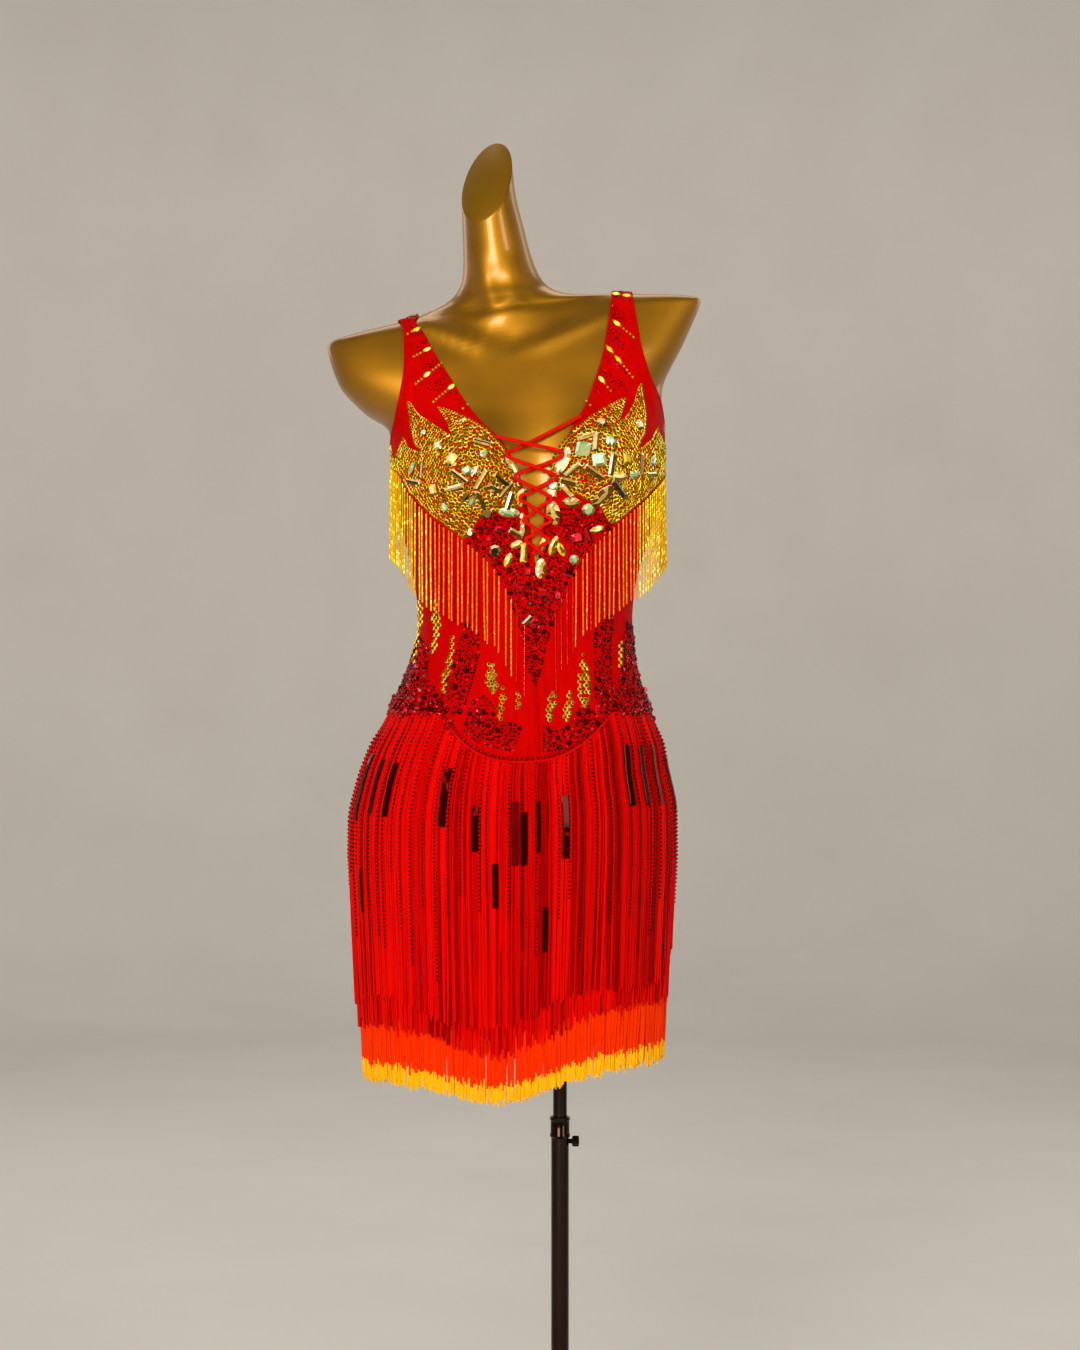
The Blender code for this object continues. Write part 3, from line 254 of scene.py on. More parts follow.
def add(tree, kind, inputs=None, **settings):
    """Adds a node with its settings, and its inputs as values or as links from other nodes."""
    made = tree.nodes.new("ShaderNode" + kind)
    for name, value in settings.items():
        setattr(made, name, value)
    for name, value in (inputs or {}).items():
        feed(tree, made, name, value)
    return made


def feed(tree, node, name, value):
    if isinstance(value, bpy.types.Node):
        value = value.outputs[0]
    if isinstance(value, bpy.types.NodeSocket):
        tree.links.new(value, node.inputs[name])
    else:
        node.inputs[name].default_value = value


def grain(size_mm):
    """A texture's scale for a pattern of this size."""
    return 1000.0 / size_mm


def start_finish(name, **constants):
    """A material with its shader's constants set, and the place in the object's own metres."""
    made = bpy.data.materials.new(name)
    made.use_nodes = True
    tree = made.node_tree
    shader = tree.nodes["Principled BSDF"]
    for socket, value in constants.items():
        shader.inputs[socket.replace("_", " ")].default_value = value
    return made, tree, shader, add(tree, "TexCoord").outputs["Object"]


def wander(tree, shader, pattern, dark, light, rough):
    """Colour from dark to light, and roughness between two, that wander with a pattern."""
    tone = add(tree, "MixRGB", {"Fac": pattern, "Color1": paint(dark), "Color2": paint(light)})
    spread = add(tree, "MapRange", {"Value": pattern, "To Min": rough[0], "To Max": rough[1]})
    feed(tree, shader, "Base Color", tone)
    feed(tree, shader, "Roughness", spread)


def noise(tree, place, size_mm, detail):
    """A noise pattern of this grain."""
    made = add(tree, "TexNoise", {"Vector": place, "Scale": grain(size_mm), "Detail": detail})
    return made.outputs["Fac"]


def drawn_out(tree, place, share):
    """A place whose z counts for a share, so that a pattern on it is drawn out lengthwise."""
    return add(tree, "Mapping", {"Vector": place, "Scale": (1.0, 1.0, share)})


def wave_grain(size_mm):
    """A wave texture's scale for waves of this size."""
    return grain(size_mm) * math.tau / 20


def emboss(tree, shader, pattern, distance, **inputs):
    """Raises the surface by a pattern, up to a distance in metres."""
    raised = add(tree, "Bump", {"Height": pattern, "Distance": distance, **inputs})
    feed(tree, shader, "Normal", raised)


def gold_lacquer(name, dark, light, rough, varnish):
    """Metallic gold lacquer on a fibreglass shell: broad soft gold under a thin bright varnish."""
    made, tree, shader, place = start_finish(
        name, Metallic=0.85, Coat_Weight=varnish, Coat_Roughness=0.15, Coat_IOR=1.5,
    )
    wander(tree, shader, noise(tree, place, 90, 3.0), dark, light, rough)
    peel, swell = noise(tree, place, 3.0, 1.0), noise(tree, place, 38, 0.0)
    low = add(tree, "Bump", {"Height": swell, "Distance": 0.0009, "Strength": 0.3})
    emboss(tree, shader, peel, 0.00006, Normal=low)
    return made


def stretch_satin(name, dark, light):
    """Warp-knitted stretch satin: a soft lengthwise shine, painted into the colour as lighter streaks, over
    very fine courses.

    The courses are 0.35 mm apart on the real cloth and are drawn at 1.4 mm, so that they show.
    """
    made, tree, shader, place = start_finish(
        name, Specular_IOR_Level=0.025, Specular_Tint=paint("FF4A30"),
    )
    # Lengthwise streaks that lighten the colour are a painted sheen; they vary the roughness too.
    painted_sheen_streaks = noise(tree, drawn_out(tree, place, 0.22), 7, 4.0)
    wander(tree, shader, painted_sheen_streaks, dark, light, (0.46, 0.62))
    courses = add(
        tree, "TexWave",
        {"Vector": place, "Scale": wave_grain(1.4), "Distortion": 1.2, "Detail Scale": 3.0},
        bands_direction="Z",
    )
    fibre = noise(tree, place, 1.1, 2.0)
    rough = add(tree, "Bump", {"Height": fibre, "Distance": 0.00025, "Strength": 0.6})
    emboss(tree, shader, courses.outputs["Fac"], 0.00006, Normal=rough)
    return made


def satin_cord(name, dark, light):
    """Round satin rat-tail cord: tightly wrapped shiny yarn with a soft highlight along it."""
    made, tree, shader, place = start_finish(name, Specular_IOR_Level=0.20, Specular_Tint=paint("FF6048"))
    yarn = noise(tree, place, 1.6, 3.0)
    wander(tree, shader, yarn, dark, light, (0.28, 0.42))
    emboss(tree, shader, yarn, 0.0002)
    return made


def rayon_chainette(name, dark, light):
    """Chainette fringe of bright rayon: a crocheted chain, whose shine breaks up every few mm.

    The chain's loops are 1.2 mm long and are drawn at 2.2 mm, so that they show.
    """
    made, tree, shader, place = start_finish(name, Specular_IOR_Level=0.12, Specular_Tint=paint("FF8060"))
    dye = noise(tree, drawn_out(tree, place, 0.08), 2.6, 2.0)
    wander(tree, shader, dye, dark, light, (0.32, 0.5))
    emboss(tree, shader, noise(tree, place, 2.2, 1.0), 0.0004)
    return made


def lined_glass(name, dark, light, metallic, skin):
    """Glass beads with a foil lining: a bright core under a clear, smooth skin."""
    made, tree, shader, place = start_finish(
        name, Metallic=metallic, Coat_Weight=skin, Coat_Roughness=0.08, Coat_IOR=1.5,
        Specular_IOR_Level=0.3, Specular_Tint=paint(light),
    )
    wander(tree, shader, noise(tree, place, 4.5, 1.0), dark, light, (0.20, 0.36))
    return made


def foiled_crystal(name, dark, light, metallic, glint):
    """Foil-backed cut crystal: sharp flashes from each facet, and the foil's colour between them."""
    made, tree, shader, place = start_finish(
        name, Metallic=metallic, Coat_Weight=glint, Coat_Roughness=0.02, Coat_IOR=1.55,
        Specular_IOR_Level=0.4, Specular_Tint=paint(light),
    )
    fire = add(tree, "TexVoronoi", {"Vector": place, "Scale": grain(3.2)}, feature="F1")
    wander(tree, shader, fire.outputs["Color"], dark, light, (0.08, 0.22))
    return made


def foil_bar(name, dark, light):
    """Pressed plastic bars with dark foil behind: almost black-red, with long clean reflections."""
    made, tree, shader, place = start_finish(
        name, Coat_Weight=0.10, Coat_Roughness=0.03, Coat_IOR=1.5,
        Specular_IOR_Level=0.25, Specular_Tint=paint("FF3020"),
    )
    wander(tree, shader, noise(tree, place, 25, 1.0), dark, light, (0.06, 0.14))
    emboss(tree, shader, noise(tree, place, 9, 0.0), 0.0005)
    return made


def polyester_thread(name, dark, light):
    """Spun polyester sewing thread: matt, with a slightly hairy ply."""
    made, tree, shader, place = start_finish(name, Specular_IOR_Level=0.1)
    ply = noise(tree, place, 0.8, 2.0)
    wander(tree, shader, ply, dark, light, (0.55, 0.75))
    emboss(tree, shader, ply, 0.0001)
    return made


def polished_bronze(name, dark, light):
    """Drawn steel tube, bronze plated and polished: long clean reflections with faint draw lines."""
    made, tree, shader, place = start_finish(name, Metallic=1.0, Coat_Weight=0.25, Coat_Roughness=0.08)
    lines = noise(tree, drawn_out(tree, place, 0.03), 1.5, 3.0)
    wander(tree, shader, lines, dark, light, (0.12, 0.24))
    emboss(tree, shader, lines, 0.00003)
    return made


def turned_bronze(name, dark, light):
    """Bronze-plated plate turned on a lathe: the tool's fine rings turn the light into a fan.

    The rings are 0.3 mm apart on the real plate and are drawn at 1.5 mm, so that they show.
    """
    made, tree, shader, place = start_finish(name, Metallic=1.0, Coat_Weight=0.15, Coat_Roughness=0.15)
    wander(tree, shader, noise(tree, place, 30, 4.0), dark, light, (0.26, 0.42))
    rings = add(
        tree, "TexWave", {"Vector": place, "Scale": wave_grain(1.5), "Distortion": 0.4},
        wave_type="RINGS", rings_direction="Z",
    )
    emboss(tree, shader, rings.outputs["Fac"], 0.00005)
    return made


def studio_paper(name, dark, light):
    """Seamless background paper: matt and even, with only a breath of mottling."""
    made, tree, shader, place = start_finish(name, Specular_IOR_Level=0.2)
    wander(tree, shader, noise(tree, place, 400, 3.0), dark, light, (0.85, 0.95))
    return made


FORM_GOLD = gold_lacquer("gold_lacquer_on_fibreglass", "885A05", "B8820D", (0.44, 0.54), 0.45)
CUT_GOLD = gold_lacquer("gold_lacquer_on_cut_neck", "8E6206", "AC8010", (0.56, 0.66), 0.03)
SATIN = stretch_satin("stretch_satin_knit", "9E0201", "C60301")
LACE_CORD = satin_cord("satin_rat_tail_cord", "B80402", "E01008")
BRAID = satin_cord("crocheted_rayon_braid", "A00202", "D80604")
RAYON = [
    rayon_chainette("rayon_bright_red", "CC0301", "E60C04"),
    rayon_chainette("rayon_red", "B40201", "D40603"),
    rayon_chainette("rayon_deep_red", "860101", "AE0301"),
]
RAYON_ORANGE = rayon_chainette("rayon_orange", "E42400", "F63E01")
RAYON_YELLOW = rayon_chainette("rayon_yellow", "F0A402", "FCC81E")
GOLD_BUGLE = lined_glass("gold_lined_bugle_glass", "D69E02", "FFD820", 0.3, 0.25)
AMBER_BUGLE = lined_glass("amber_lined_bugle_glass", "D84A02", "FF8C0C", 0.2, 0.2)
RED_BUGLE = lined_glass("red_lined_bugle_glass", "B80602", "F02404", 0.1, 0.15)
DARK_BEAD = lined_glass("garnet_bead_glass", "300001", "680203", 0.0, 0.12)
PAINTED_WELL_SHADE = 3  # the last of the gold stones' finishes: the painted shade in a cup's well
GOLD_STONES = [
    foiled_crystal("gold_foil_crystal", "E0C004", "FFEC20", 0.1, 0.25),
    foiled_crystal("bright_gold_foil_crystal", "FFEC30", "FFFF90", 0.05, 0.5),
    foiled_crystal("deep_gold_foil_crystal", "8C7002", "C0A008", 0.1, 0.15),
    # The last finish is painted shade for the hollow well of a cup stone.
    foiled_crystal("gold_crystal_well_painted_shade", "3C3000", "6C5800", 0.1, 0.1),
]
RUBY_STONES = [
    foiled_crystal("garnet_foil_crystal", "240001", "540103", 0.0, 0.08),
    foiled_crystal("ruby_foil_crystal", "6C0003", "B00609", 0.0, 0.15),
    foiled_crystal("light_ruby_foil_crystal", "A4060E", "E4242E", 0.05, 0.4),
]
# The light and dark facet finishes are painted highlight and painted shade, given by how a facet leans to the
# lamps.
CRYSTALS = {  # a painted-highlight, a middle and a painted-shade facet of each colour
    tint: [foiled_crystal(f"{tint}_crystal_{n}", *shades, 0.1, 0.3) for n, shades in enumerate(facets)]
    for tint, facets in {
        "clear": (("FFECB0", "FFFCE8"), ("A07C2C", "D0B060"), ("302002", "5C400A")),
        "gold": (("FFE070", "FFF8C8"), ("C89418", "F0C840"), ("4C3402", "8A6408")),
        "smoke": (("D8B870", "FFE8B4"), ("5C4218", "86642C"), ("140C02", "342206")),
        "ruby": (("B40E18", "F03038"), ("7C0309", "AC0C12"), ("260002", "540107")),
        "ab": (("A4F0C8", "FFFFE4"), ("74B48C", "C8B46C"), ("4C5A28", "8A7830")),
    }.items()
}
BAR_FOILS = [
    foil_bar("black_red_foil_bar", "0C0000", "300102"),
    foil_bar("dark_red_foil_bar", "400001", "780204"),
]
THREAD = polyester_thread("red_sewing_thread", "8A0202", "B80606")
BRONZE = polished_bronze("polished_bronze_plate", "170903", "2C170B")
TURNED = turned_bronze("turned_bronze_plate", "2A170C", "4A2E1C")
PAPER = studio_paper("seamless_paper", "D9D5CF", "E4E1DC")


# ------------------------------------------------------------ the form's surface
def unit(vectors):
    """Vectors made 1 long."""
    return vectors / np.linalg.norm(vectors, axis=-1, keepdims=True)


def distances(points, scale=1.0):
    """How far along a line each of its points lies."""
    steps = np.linalg.norm(np.diff(points, axis=0) * scale, axis=1)
    return np.concatenate([[0.0], np.cumsum(steps)])


def knots_of(rows):
    """Distance up the surface to each section, from the change in height, width and depth."""
    return distances(rows[:, [COLUMNS.index(c) for c in ("height", "half_width", "front")]])


def slopes_of(knots, values):
    """Slopes of a cubic through the values that never overshoots them."""
    run = np.diff(knots)[:, None]
    rise = np.diff(values, axis=0) / run
    slopes = np.zeros_like(values)
    slopes[0], slopes[-1] = rise[0], rise[-1]
    same = rise[:-1] * rise[1:] > 0
    lower, upper = 2 * run[1:] + run[:-1], run[1:] + 2 * run[:-1]
    safe = np.where(same, rise[:-1], 1.0), np.where(same, rise[1:], 1.0)
    slopes[1:-1] = np.where(same, (lower + upper) / (lower / safe[0] + upper / safe[1]), 0.0)
    return slopes


class Curve:
    """A smooth curve of several columns through its rows, read at any place along it."""

    def __init__(self, knots, values):
        self.knots = np.asarray(knots, float)
        self.values = np.asarray(values, float)
        self.slopes = slopes_of(self.knots, self.values)

    def __call__(self, at):
        at = np.clip(np.asarray(at, float), self.knots[0], self.knots[-1])
        i = np.clip(np.searchsorted(self.knots, at, "right") - 1, 0, len(self.knots) - 2)
        run = self.knots[i + 1] - self.knots[i]
        t = ((at - self.knots[i]) / run)[..., None]
        run = run[..., None]
        start = (2 * t**3 - 3 * t**2 + 1) * self.values[i]
        end = (3 * t**2 - 2 * t**3) * self.values[i + 1]
        leave = (t**3 - 2 * t**2 + t) * run * self.slopes[i]
        arrive = (t**3 - t**2) * run * self.slopes[i + 1]
        return start + end + leave + arrive


ROWS = np.array(SECTIONS, float)
BODY = Curve(knots_of(ROWS), ROWS)
V_TOP = BODY.knots[-1]
NORMAL_STEP = 0.0006  # how far apart the surface is read for its normal
FINE_V = np.linspace(0, V_TOP, 2400)
FINE_ROWS = BODY(FINE_V)
HEIGHT, CENTRE_X, HALF_WIDTH, SQUARE = (
    COLUMNS.index(c) for c in ("height", "centre_x", "half_width", "square")
)


def signed_power(value, exponent):
    """A power that keeps the value's sign."""
    return np.sign(value) * np.abs(value) ** exponent


def ramp(value, low, high):
    """0 below low, 1 above high, and smooth between them."""
    t = np.clip((value - low) / (high - low), 0, 1)
    return t * t * (3 - 2 * t)


def ridged(x, z, rows):
    """How far ridges, from x, z to x, z, stand out at a place."""
    out = np.zeros(np.shape(x))
    for ax, az, bx, bz, height, spread in rows:
        dx, dz = bx - ax, bz - az
        along = np.clip(((x - ax) * dx + (z - az) * dz) / (dx * dx + dz * dz), 0, 1)
        away = np.hypot(x - ax - along * dx, z - az - along * dz)
        out = out + height * np.exp(-((away / spread) ** 2)) * np.sin(np.pi * (0.15 + 0.7 * along))
    return out


def relief(x, z):
    """How far the form's front stands out of its sections."""
    out = ridged(x, z, RIDGES)
    for cx, cz, height, side, up, down in BUMPS:
        spread = np.where(z > cz, up, down)
        out = out + height * np.exp(-(((x - cx) / side) ** 2) - ((z - cz) / spread) ** 2)
    return out


def form_point(theta, v):
    """Points of the form's surface."""
    theta, v = np.broadcast_arrays(np.asarray(theta, float), np.asarray(v, float))
    height, cx, cy, wide, front, back, square, yaw, roll = np.moveaxis(BODY(v), -1, 0)
    yaw, roll = np.radians(yaw), np.radians(roll)
    facing = np.cos(theta)
    side = wide * signed_power(np.sin(theta), 2 / square)
    depth = -np.where(facing > 0, front, back) * signed_power(facing, 2 / square)
    x = cx + side * np.cos(yaw) - depth * np.sin(yaw)
    y = cy + side * np.sin(yaw) + depth * np.cos(yaw)
    z = height + (x - cx) * np.tan(roll)
    y = y - relief(x, z) * ramp(facing, 0.0, 0.6)
    return np.stack([x, y, z], -1)


def form_normal(theta, v):
    """Outward normals of the form's surface."""
    theta, v = np.broadcast_arrays(np.asarray(theta, float), np.asarray(v, float))
    turn = NORMAL_STEP / MEAN_RADIUS
    above, below = np.clip(v + NORMAL_STEP, 0, V_TOP), np.clip(v - NORMAL_STEP, 0, V_TOP)
    round_it = form_point(theta + turn, v) - form_point(theta - turn, v)
    up_it = form_point(theta, above) - form_point(theta, below)
    return unit(np.cross(round_it, up_it))


def above_form(theta, v, out):
    """Points at a distance out from the form's surface."""
    return form_point(theta, v) + form_normal(theta, v) * np.asarray(out)[..., None]


def crease(theta, v):
    """How far the cloth's soft creases stand out."""
    x, _, z = np.moveaxis(form_point(theta, v), -1, 0)
    facing = np.cos(theta)
    front = ridged(x, z, CREASES_FRONT) * ramp(facing, 0.0, 0.25)
    front = front + ridged(x, z, STRAP_TUCKS) * ramp(facing, 0.0, 0.25)
    return front + ridged(x, z, CREASES_BACK) * ramp(-facing, 0.0, 0.25)


def on_cloth(theta, v, out=0.0):
    """Points at a distance out from the cloth's outer face."""
    return above_form(theta, v, CLOTH_OUTSIDE + crease(theta, v) + out)


def seat(theta, v, out=0.0):
    """Points at a distance out from the cloth's outer face, and the normals there."""
    return on_cloth(theta, v, out), form_normal(theta, v)


def v_at(height):
    """v of the section at a height."""
    return np.interp(height, FINE_ROWS[:, HEIGHT], FINE_V)


def v_for(theta, z):
    """v where the surface at theta has this height."""
    theta, z = np.broadcast_arrays(np.asarray(theta, float), np.asarray(z, float))
    v = v_at(z)
    for _ in range(12):
        v = v + 0.7 * (v_at(z) - v_at(form_point(theta, v)[..., 2]))
    return v


def places_at(x, z, back=False):
    """theta and v of the front, or back, surface at x, z."""
    x, z = np.broadcast_arrays(np.asarray(x, float), np.asarray(z, float))
    v = v_at(z)
    row = BODY(v)
    across = np.clip((x - row[..., CENTRE_X]) / row[..., HALF_WIDTH], -0.97, 0.97)
    theta = np.arcsin(signed_power(across, row[..., SQUARE] / 2))
    if back:
        theta = math.pi - theta
    for _ in range(24):
        here = form_point(theta, v)
        turn = (form_point(theta + 0.002, v) - here) / 0.002
        rise = (form_point(theta, v + 0.0004) - here) / 0.0004
        dx, dz = x - here[..., 0], z - here[..., 2]
        area = turn[..., 0] * rise[..., 2] - turn[..., 2] * rise[..., 0]
        area = np.where(np.abs(area) < 0.004, 0.004 * np.where(back, -1, 1), area)
        theta = theta + np.clip((dx * rise[..., 2] - dz * rise[..., 0]) / area, -0.12, 0.12)
        v = np.clip(v + np.clip((turn[..., 0] * dz - turn[..., 2] * dx) / area, -0.02, 0.02), 0, V_TOP)
    return theta, v


def ridge(x):
    """v where the shoulder's ridge has this x."""
    side = 1 if x > FINE_ROWS[-1, CENTRE_X] else -1
    v = FINE_V[int(FINE_ROWS[:, HALF_WIDTH].argmax()) :]
    xs = form_point(side * math.pi / 2, v)[:, 0] * side
    return float(np.interp(-x * side, -xs, v))


# ------------------------------------------------------------ making meshes
def new_piece(name, verts, faces, finishes, slot, body="figure", kinds=None, sharp=None, replaces=()):
    """A piece of the object from its points and faces, riding on a body.

    kinds is each face's finish. sharp is the angle from which an edge is drawn sharp, or 0 for
    flat faces.
    """
    mesh = bpy.data.meshes.new(name)
    mesh.from_pydata(np.asarray(verts, float).reshape(-1, 3).tolist(), [], faces)
    made = bpy.data.objects.new(name, mesh)
    bpy.context.scene.collection.objects.link(made)
    for finish in finishes if isinstance(finishes, (list, tuple)) else [finishes]:
        mesh.materials.append(finish)
    if kinds is not None:
        mesh.polygons.foreach_set("material_index", np.asarray(kinds, np.int32))
    bm = bmesh.new()
    bm.from_mesh(mesh)
    bmesh.ops.recalc_face_normals(bm, faces=bm.faces)
    bm.to_mesh(mesh)
    bm.free()
    if sharp == 0:
        mesh.shade_flat()
    else:
        mesh.shade_smooth()
        if sharp is not None:
            mesh.set_sharp_from_angle(angle=math.radians(sharp))
    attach(made, body)
    if replaces:
        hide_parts(*replaces)
    return made


def strip(start, beyond):
    """Quads between rows of indices that run round a ring."""
    quads = [start, np.roll(start, -1, -1), np.roll(beyond, -1, -1), beyond]
    return np.stack(quads, -1).reshape(-1, 4).tolist()


def tubes(paths, radii, sides=4, beside=(0, 1, 0), closed=False):
    """Points and faces of round tubes along paths, an array of paths of points.

    radii is one radius, one for each point, or one for each side at each point. beside is a
    direction that no path runs in. A closed tube joins its end to its start.
    """
    paths = np.asarray(paths, float)
    if closed:
        run = np.roll(paths, -1, axis=1) - np.roll(paths, 1, axis=1)
    else:
        run = np.gradient(paths, axis=1)
    run = unit(run)
    side = unit(np.cross(run, beside))
    other = np.cross(side, run)
    angles = np.linspace(0, math.tau, sides, endpoint=False)[:, None]
    ring = np.cos(angles) * side[:, :, None] + np.sin(angles) * other[:, :, None]
    count, steps = paths.shape[:2]
    if np.ndim(radii) < 3:
        radii = np.broadcast_to(radii, (count, steps))[..., None]
    verts = paths[:, :, None] + ring * radii[..., None]
    index = np.arange(count * steps * sides).reshape(count, steps, sides)
    if closed:
        faces = strip(index, np.roll(index, -1, axis=1))
    else:
        faces = strip(index[:, :-1], index[:, 1:])
        faces += index[:, 0, ::-1].tolist() + index[:, -1].tolist()
    return verts.reshape(-1, 3), faces


def turned(profile, sides, ribs=0.0):
    """Points and faces of a shape turned round its z axis, from rows of radius and height.

    ribs gives every other side's radius a share less, as on a knurled knob.
    """
    angles = np.linspace(0, math.tau, sides, endpoint=False)
    cut = 1 - ribs * (np.arange(sides) % 2)
    verts = [
        (r * c * math.cos(a), r * c * math.sin(a), h)
        for r, h in profile for a, c in zip(angles, cut)
    ]
    faces = []
    for i in range(len(profile) - 1):
        for j in range(sides):
            k = (j + 1) % sides
            faces.append((i * sides + j, i * sides + k, (i + 1) * sides + k, (i + 1) * sides + j))
    faces.append(tuple(range(sides))[::-1])
    faces.append(tuple(range((len(profile) - 1) * sides, len(profile) * sides)))
    return np.array(verts), faces


GIRDLE_HEIGHT = 0.35  # of a stone that is 1 high


def cut_stone(outline, table, brilliant):
    """Points and faces of a cut stone, 1 wide, long and high: girdle, crown facets and flat table.

    table is the table's share of the outline, or its shares along and across.
    """
    outline = np.asarray(outline, float)
    count = len(outline)
    top = (outline + np.roll(outline, -1, axis=0)) / 2 if brilliant else outline
    rings = [(outline, 0.0), (outline, GIRDLE_HEIGHT), (top * table, 1.0)]
    verts = np.concatenate([np.column_stack([ring, np.full(count, z)]) for ring, z in rings])
    faces = [tuple(range(count))[::-1], tuple(range(2 * count, 3 * count))]
    for j in range(count):
        k = (j + 1) % count
        faces.append((j, k, count + k, count + j))
        if brilliant:
            faces.append((count + j, count + k, 2 * count + j))
            faces.append((count + k, 2 * count + k, 2 * count + j))
        else:
            faces.append((count + j, count + k, 2 * count + k, 2 * count + j))
    return verts, faces


def ring_of(count, pointed=0.0):
    """An outline of this many points, 1 across. pointed draws it in to a leaf shape with two tips."""
    angles = np.linspace(0, math.tau, count, endpoint=False)
    return np.column_stack([np.cos(angles), np.sin(angles) * np.abs(np.sin(angles)) ** pointed]) / 2


def chamfered(corner):
    """A rectangle's outline, 1 across, with its corners cut by a share."""
    half, cut = 0.5, 0.5 - corner
    return [
        (half, -cut), (half, cut), (cut, half), (-cut, half),
        (-half, cut), (-half, -cut), (-cut, -half), (cut, -half),
    ]


def level_in(normals):
    """The level direction in each surface that has these normals."""
    return unit(np.cross((0.0, 0.0, 1.0), normals))


def set_down(template, points, normals, sizes, spins, tilt=0.0):
    """Points and faces of copies of a template that stand on a surface.

    sizes gives each copy's width, length and height, spins its angle in the surface from level.
    """
    shape, faces = template
    count = len(points)
    normals = unit(normals + tilt * rng.normal(size=(count, 3)))
    level = level_in(normals)
    up = np.cross(normals, level)
    spins = np.broadcast_to(np.asarray(spins, float), (count,))[:, None]
    along = level * np.cos(spins) + up * np.sin(spins)
    across = np.cross(normals, along)
    sizes = np.broadcast_to(np.asarray(sizes, float), (count, 3))
    local = shape[None] * sizes[:, None]
    verts = points[:, None] + local[..., :1] * along[:, None] + local[..., 1:2] * across[:, None]
    verts = verts + local[..., 2:] * normals[:, None]
    joined = [tuple(i + n * len(shape) for i in face) for n in range(count) for face in faces]
    return verts.reshape(-1, 3), joined


def gather(parts):
    """Several lots of points and faces as one, with the finish of each lot's faces."""
    verts, faces, kinds, first = [], [], [], 0
    for lot_verts, lot_faces, kind in parts:
        verts.append(lot_verts)
        faces += [tuple(i + first for i in face) for face in lot_faces]
        kinds.append(np.broadcast_to(kind, len(lot_faces)))
        first += len(lot_verts)
    return np.concatenate(verts), faces, np.concatenate(kinds)


def piece_of(name, lots, finishes, slot, **more):
    """A piece made of lots of points and faces, each with its finish."""
    verts, faces, kinds = gather(lots)
    return new_piece(name, verts, faces, finishes, slot, kinds=kinds, **more)


ROUND_STONE = cut_stone(ring_of(8), 0.62, True)
SMALL_STONE = cut_stone(ring_of(6), 0.55, True)
LEAF_STONE = cut_stone(ring_of(12, 0.25), (0.60, 0.36), True)
SQUARE_STONE = cut_stone(chamfered(0.12), 0.58, False)
BAR_STONE = cut_stone(chamfered(0.06), (0.90, 0.34), False)
CUP_SIDES = 7
CUP_STONE = turned([(0.5, 0.0), (0.5, 0.5), (0.40, 1.0), (0.24, 0.5)], CUP_SIDES)  # with a well darkened by painted shade
ROUND_BEAD = turned([(0.30, -0.42), (0.50, 0.0), (0.30, 0.42)], 6)
BUGLE_BEAD = turned([(0.44, -0.5), (0.5, -0.46), (0.5, 0.46), (0.44, 0.5)], 6)
STITCH = turned([(0.25, -0.5), (0.5, -0.3), (0.5, 0.3), (0.25, 0.5)], 5)


# ------------------------------------------------------------ the dress form
FORM_ROUND, FORM_UP = 132, 208
FORM_SHARP = 50
NECK_EASE_WIDTH, NECK_EASE_HEIGHT = 0.0012, 0.0009  # of the eased edge of the neck's cut
FOOT_INSET = 0.002


def make_form():
    """The lofted body, closed below, with its neck cut off flat and the cut's edge eased."""
    around = np.linspace(0, math.tau, FORM_ROUND, endpoint=False)
    theta, v = np.meshgrid(around, np.linspace(0, V_TOP, FORM_UP))
    index = np.arange(FORM_ROUND * FORM_UP).reshape(FORM_UP, FORM_ROUND)
    made = new_piece(
        "form_shell", form_point(theta, v), strip(index[:-1], index[1:]), [FORM_GOLD, CUT_GOLD],
        "gold_form", replaces=("form_torso",), sharp=FORM_SHARP,
    )
    bm = bmesh.new()
    bm.from_mesh(made.data)
    slope_x, slope_y = NECK_CUT_SLOPE
    cut = bmesh.ops.bisect_plane(
        bm, geom=bm.verts[:] + bm.edges[:] + bm.faces[:], plane_co=NECK_CUT_POINT,
        plane_no=(-slope_x, -slope_y, 1), clear_outer=True,
    )
    rim = [e for e in cut["geom_cut"] if isinstance(e, bmesh.types.BMEdge)]
    cap = bmesh.ops.contextual_create(bm, geom=rim)["faces"][0]
    cap.material_index = 1
    eased_edge = bmesh.ops.inset_region(
        bm, faces=[cap], thickness=NECK_EASE_WIDTH, depth=NECK_EASE_HEIGHT,
    )
    for face in eased_edge["faces"]:
        face.material_index = 0
    bottom = [e for e in bm.edges if e.is_boundary]
    foot = bmesh.ops.contextual_create(bm, geom=bottom)["faces"][0]
    bmesh.ops.inset_region(bm, faces=[foot], thickness=FOOT_INSET, depth=0.0)
    bmesh.ops.recalc_face_normals(bm, faces=bm.faces)
    for face in bm.faces:
        face.smooth = True
    bm.to_mesh(made.data)
    bm.free()
    made.data.set_sharp_from_angle(angle=math.radians(FORM_SHARP))


# ------------------------------------------------------------ the cloth
def seam_height(theta):
    """Height of the hip seam: level, with the round point at the front."""
    theta = np.asarray(theta, float)
    x = form_point(theta, v_for(theta, POINT_LEVEL))[..., 0]
    across = np.clip(np.abs(x - POINT_X) / POINT_HALF_WIDTH, 0, 1)
    dip = (1 - across**POINT_FULLNESS) ** POINT_SHARPNESS
    return HIP_SEAM - POINT_DEPTH * np.where(np.cos(theta) > 0, dip, 0)


def edge_place(x, z, side, back):
    """theta and v of a point in a panel's row."""
    if z is RIDGE:
        return side * math.pi / 2, ridge(x)
    if x is SIDE:
        return side * SIDE_THETA, float(v_for(side * SIDE_THETA, z))
    theta, v = places_at(x, z, back)
    if back and side < 0:
        theta = theta - math.tau
    return float(theta), float(v)


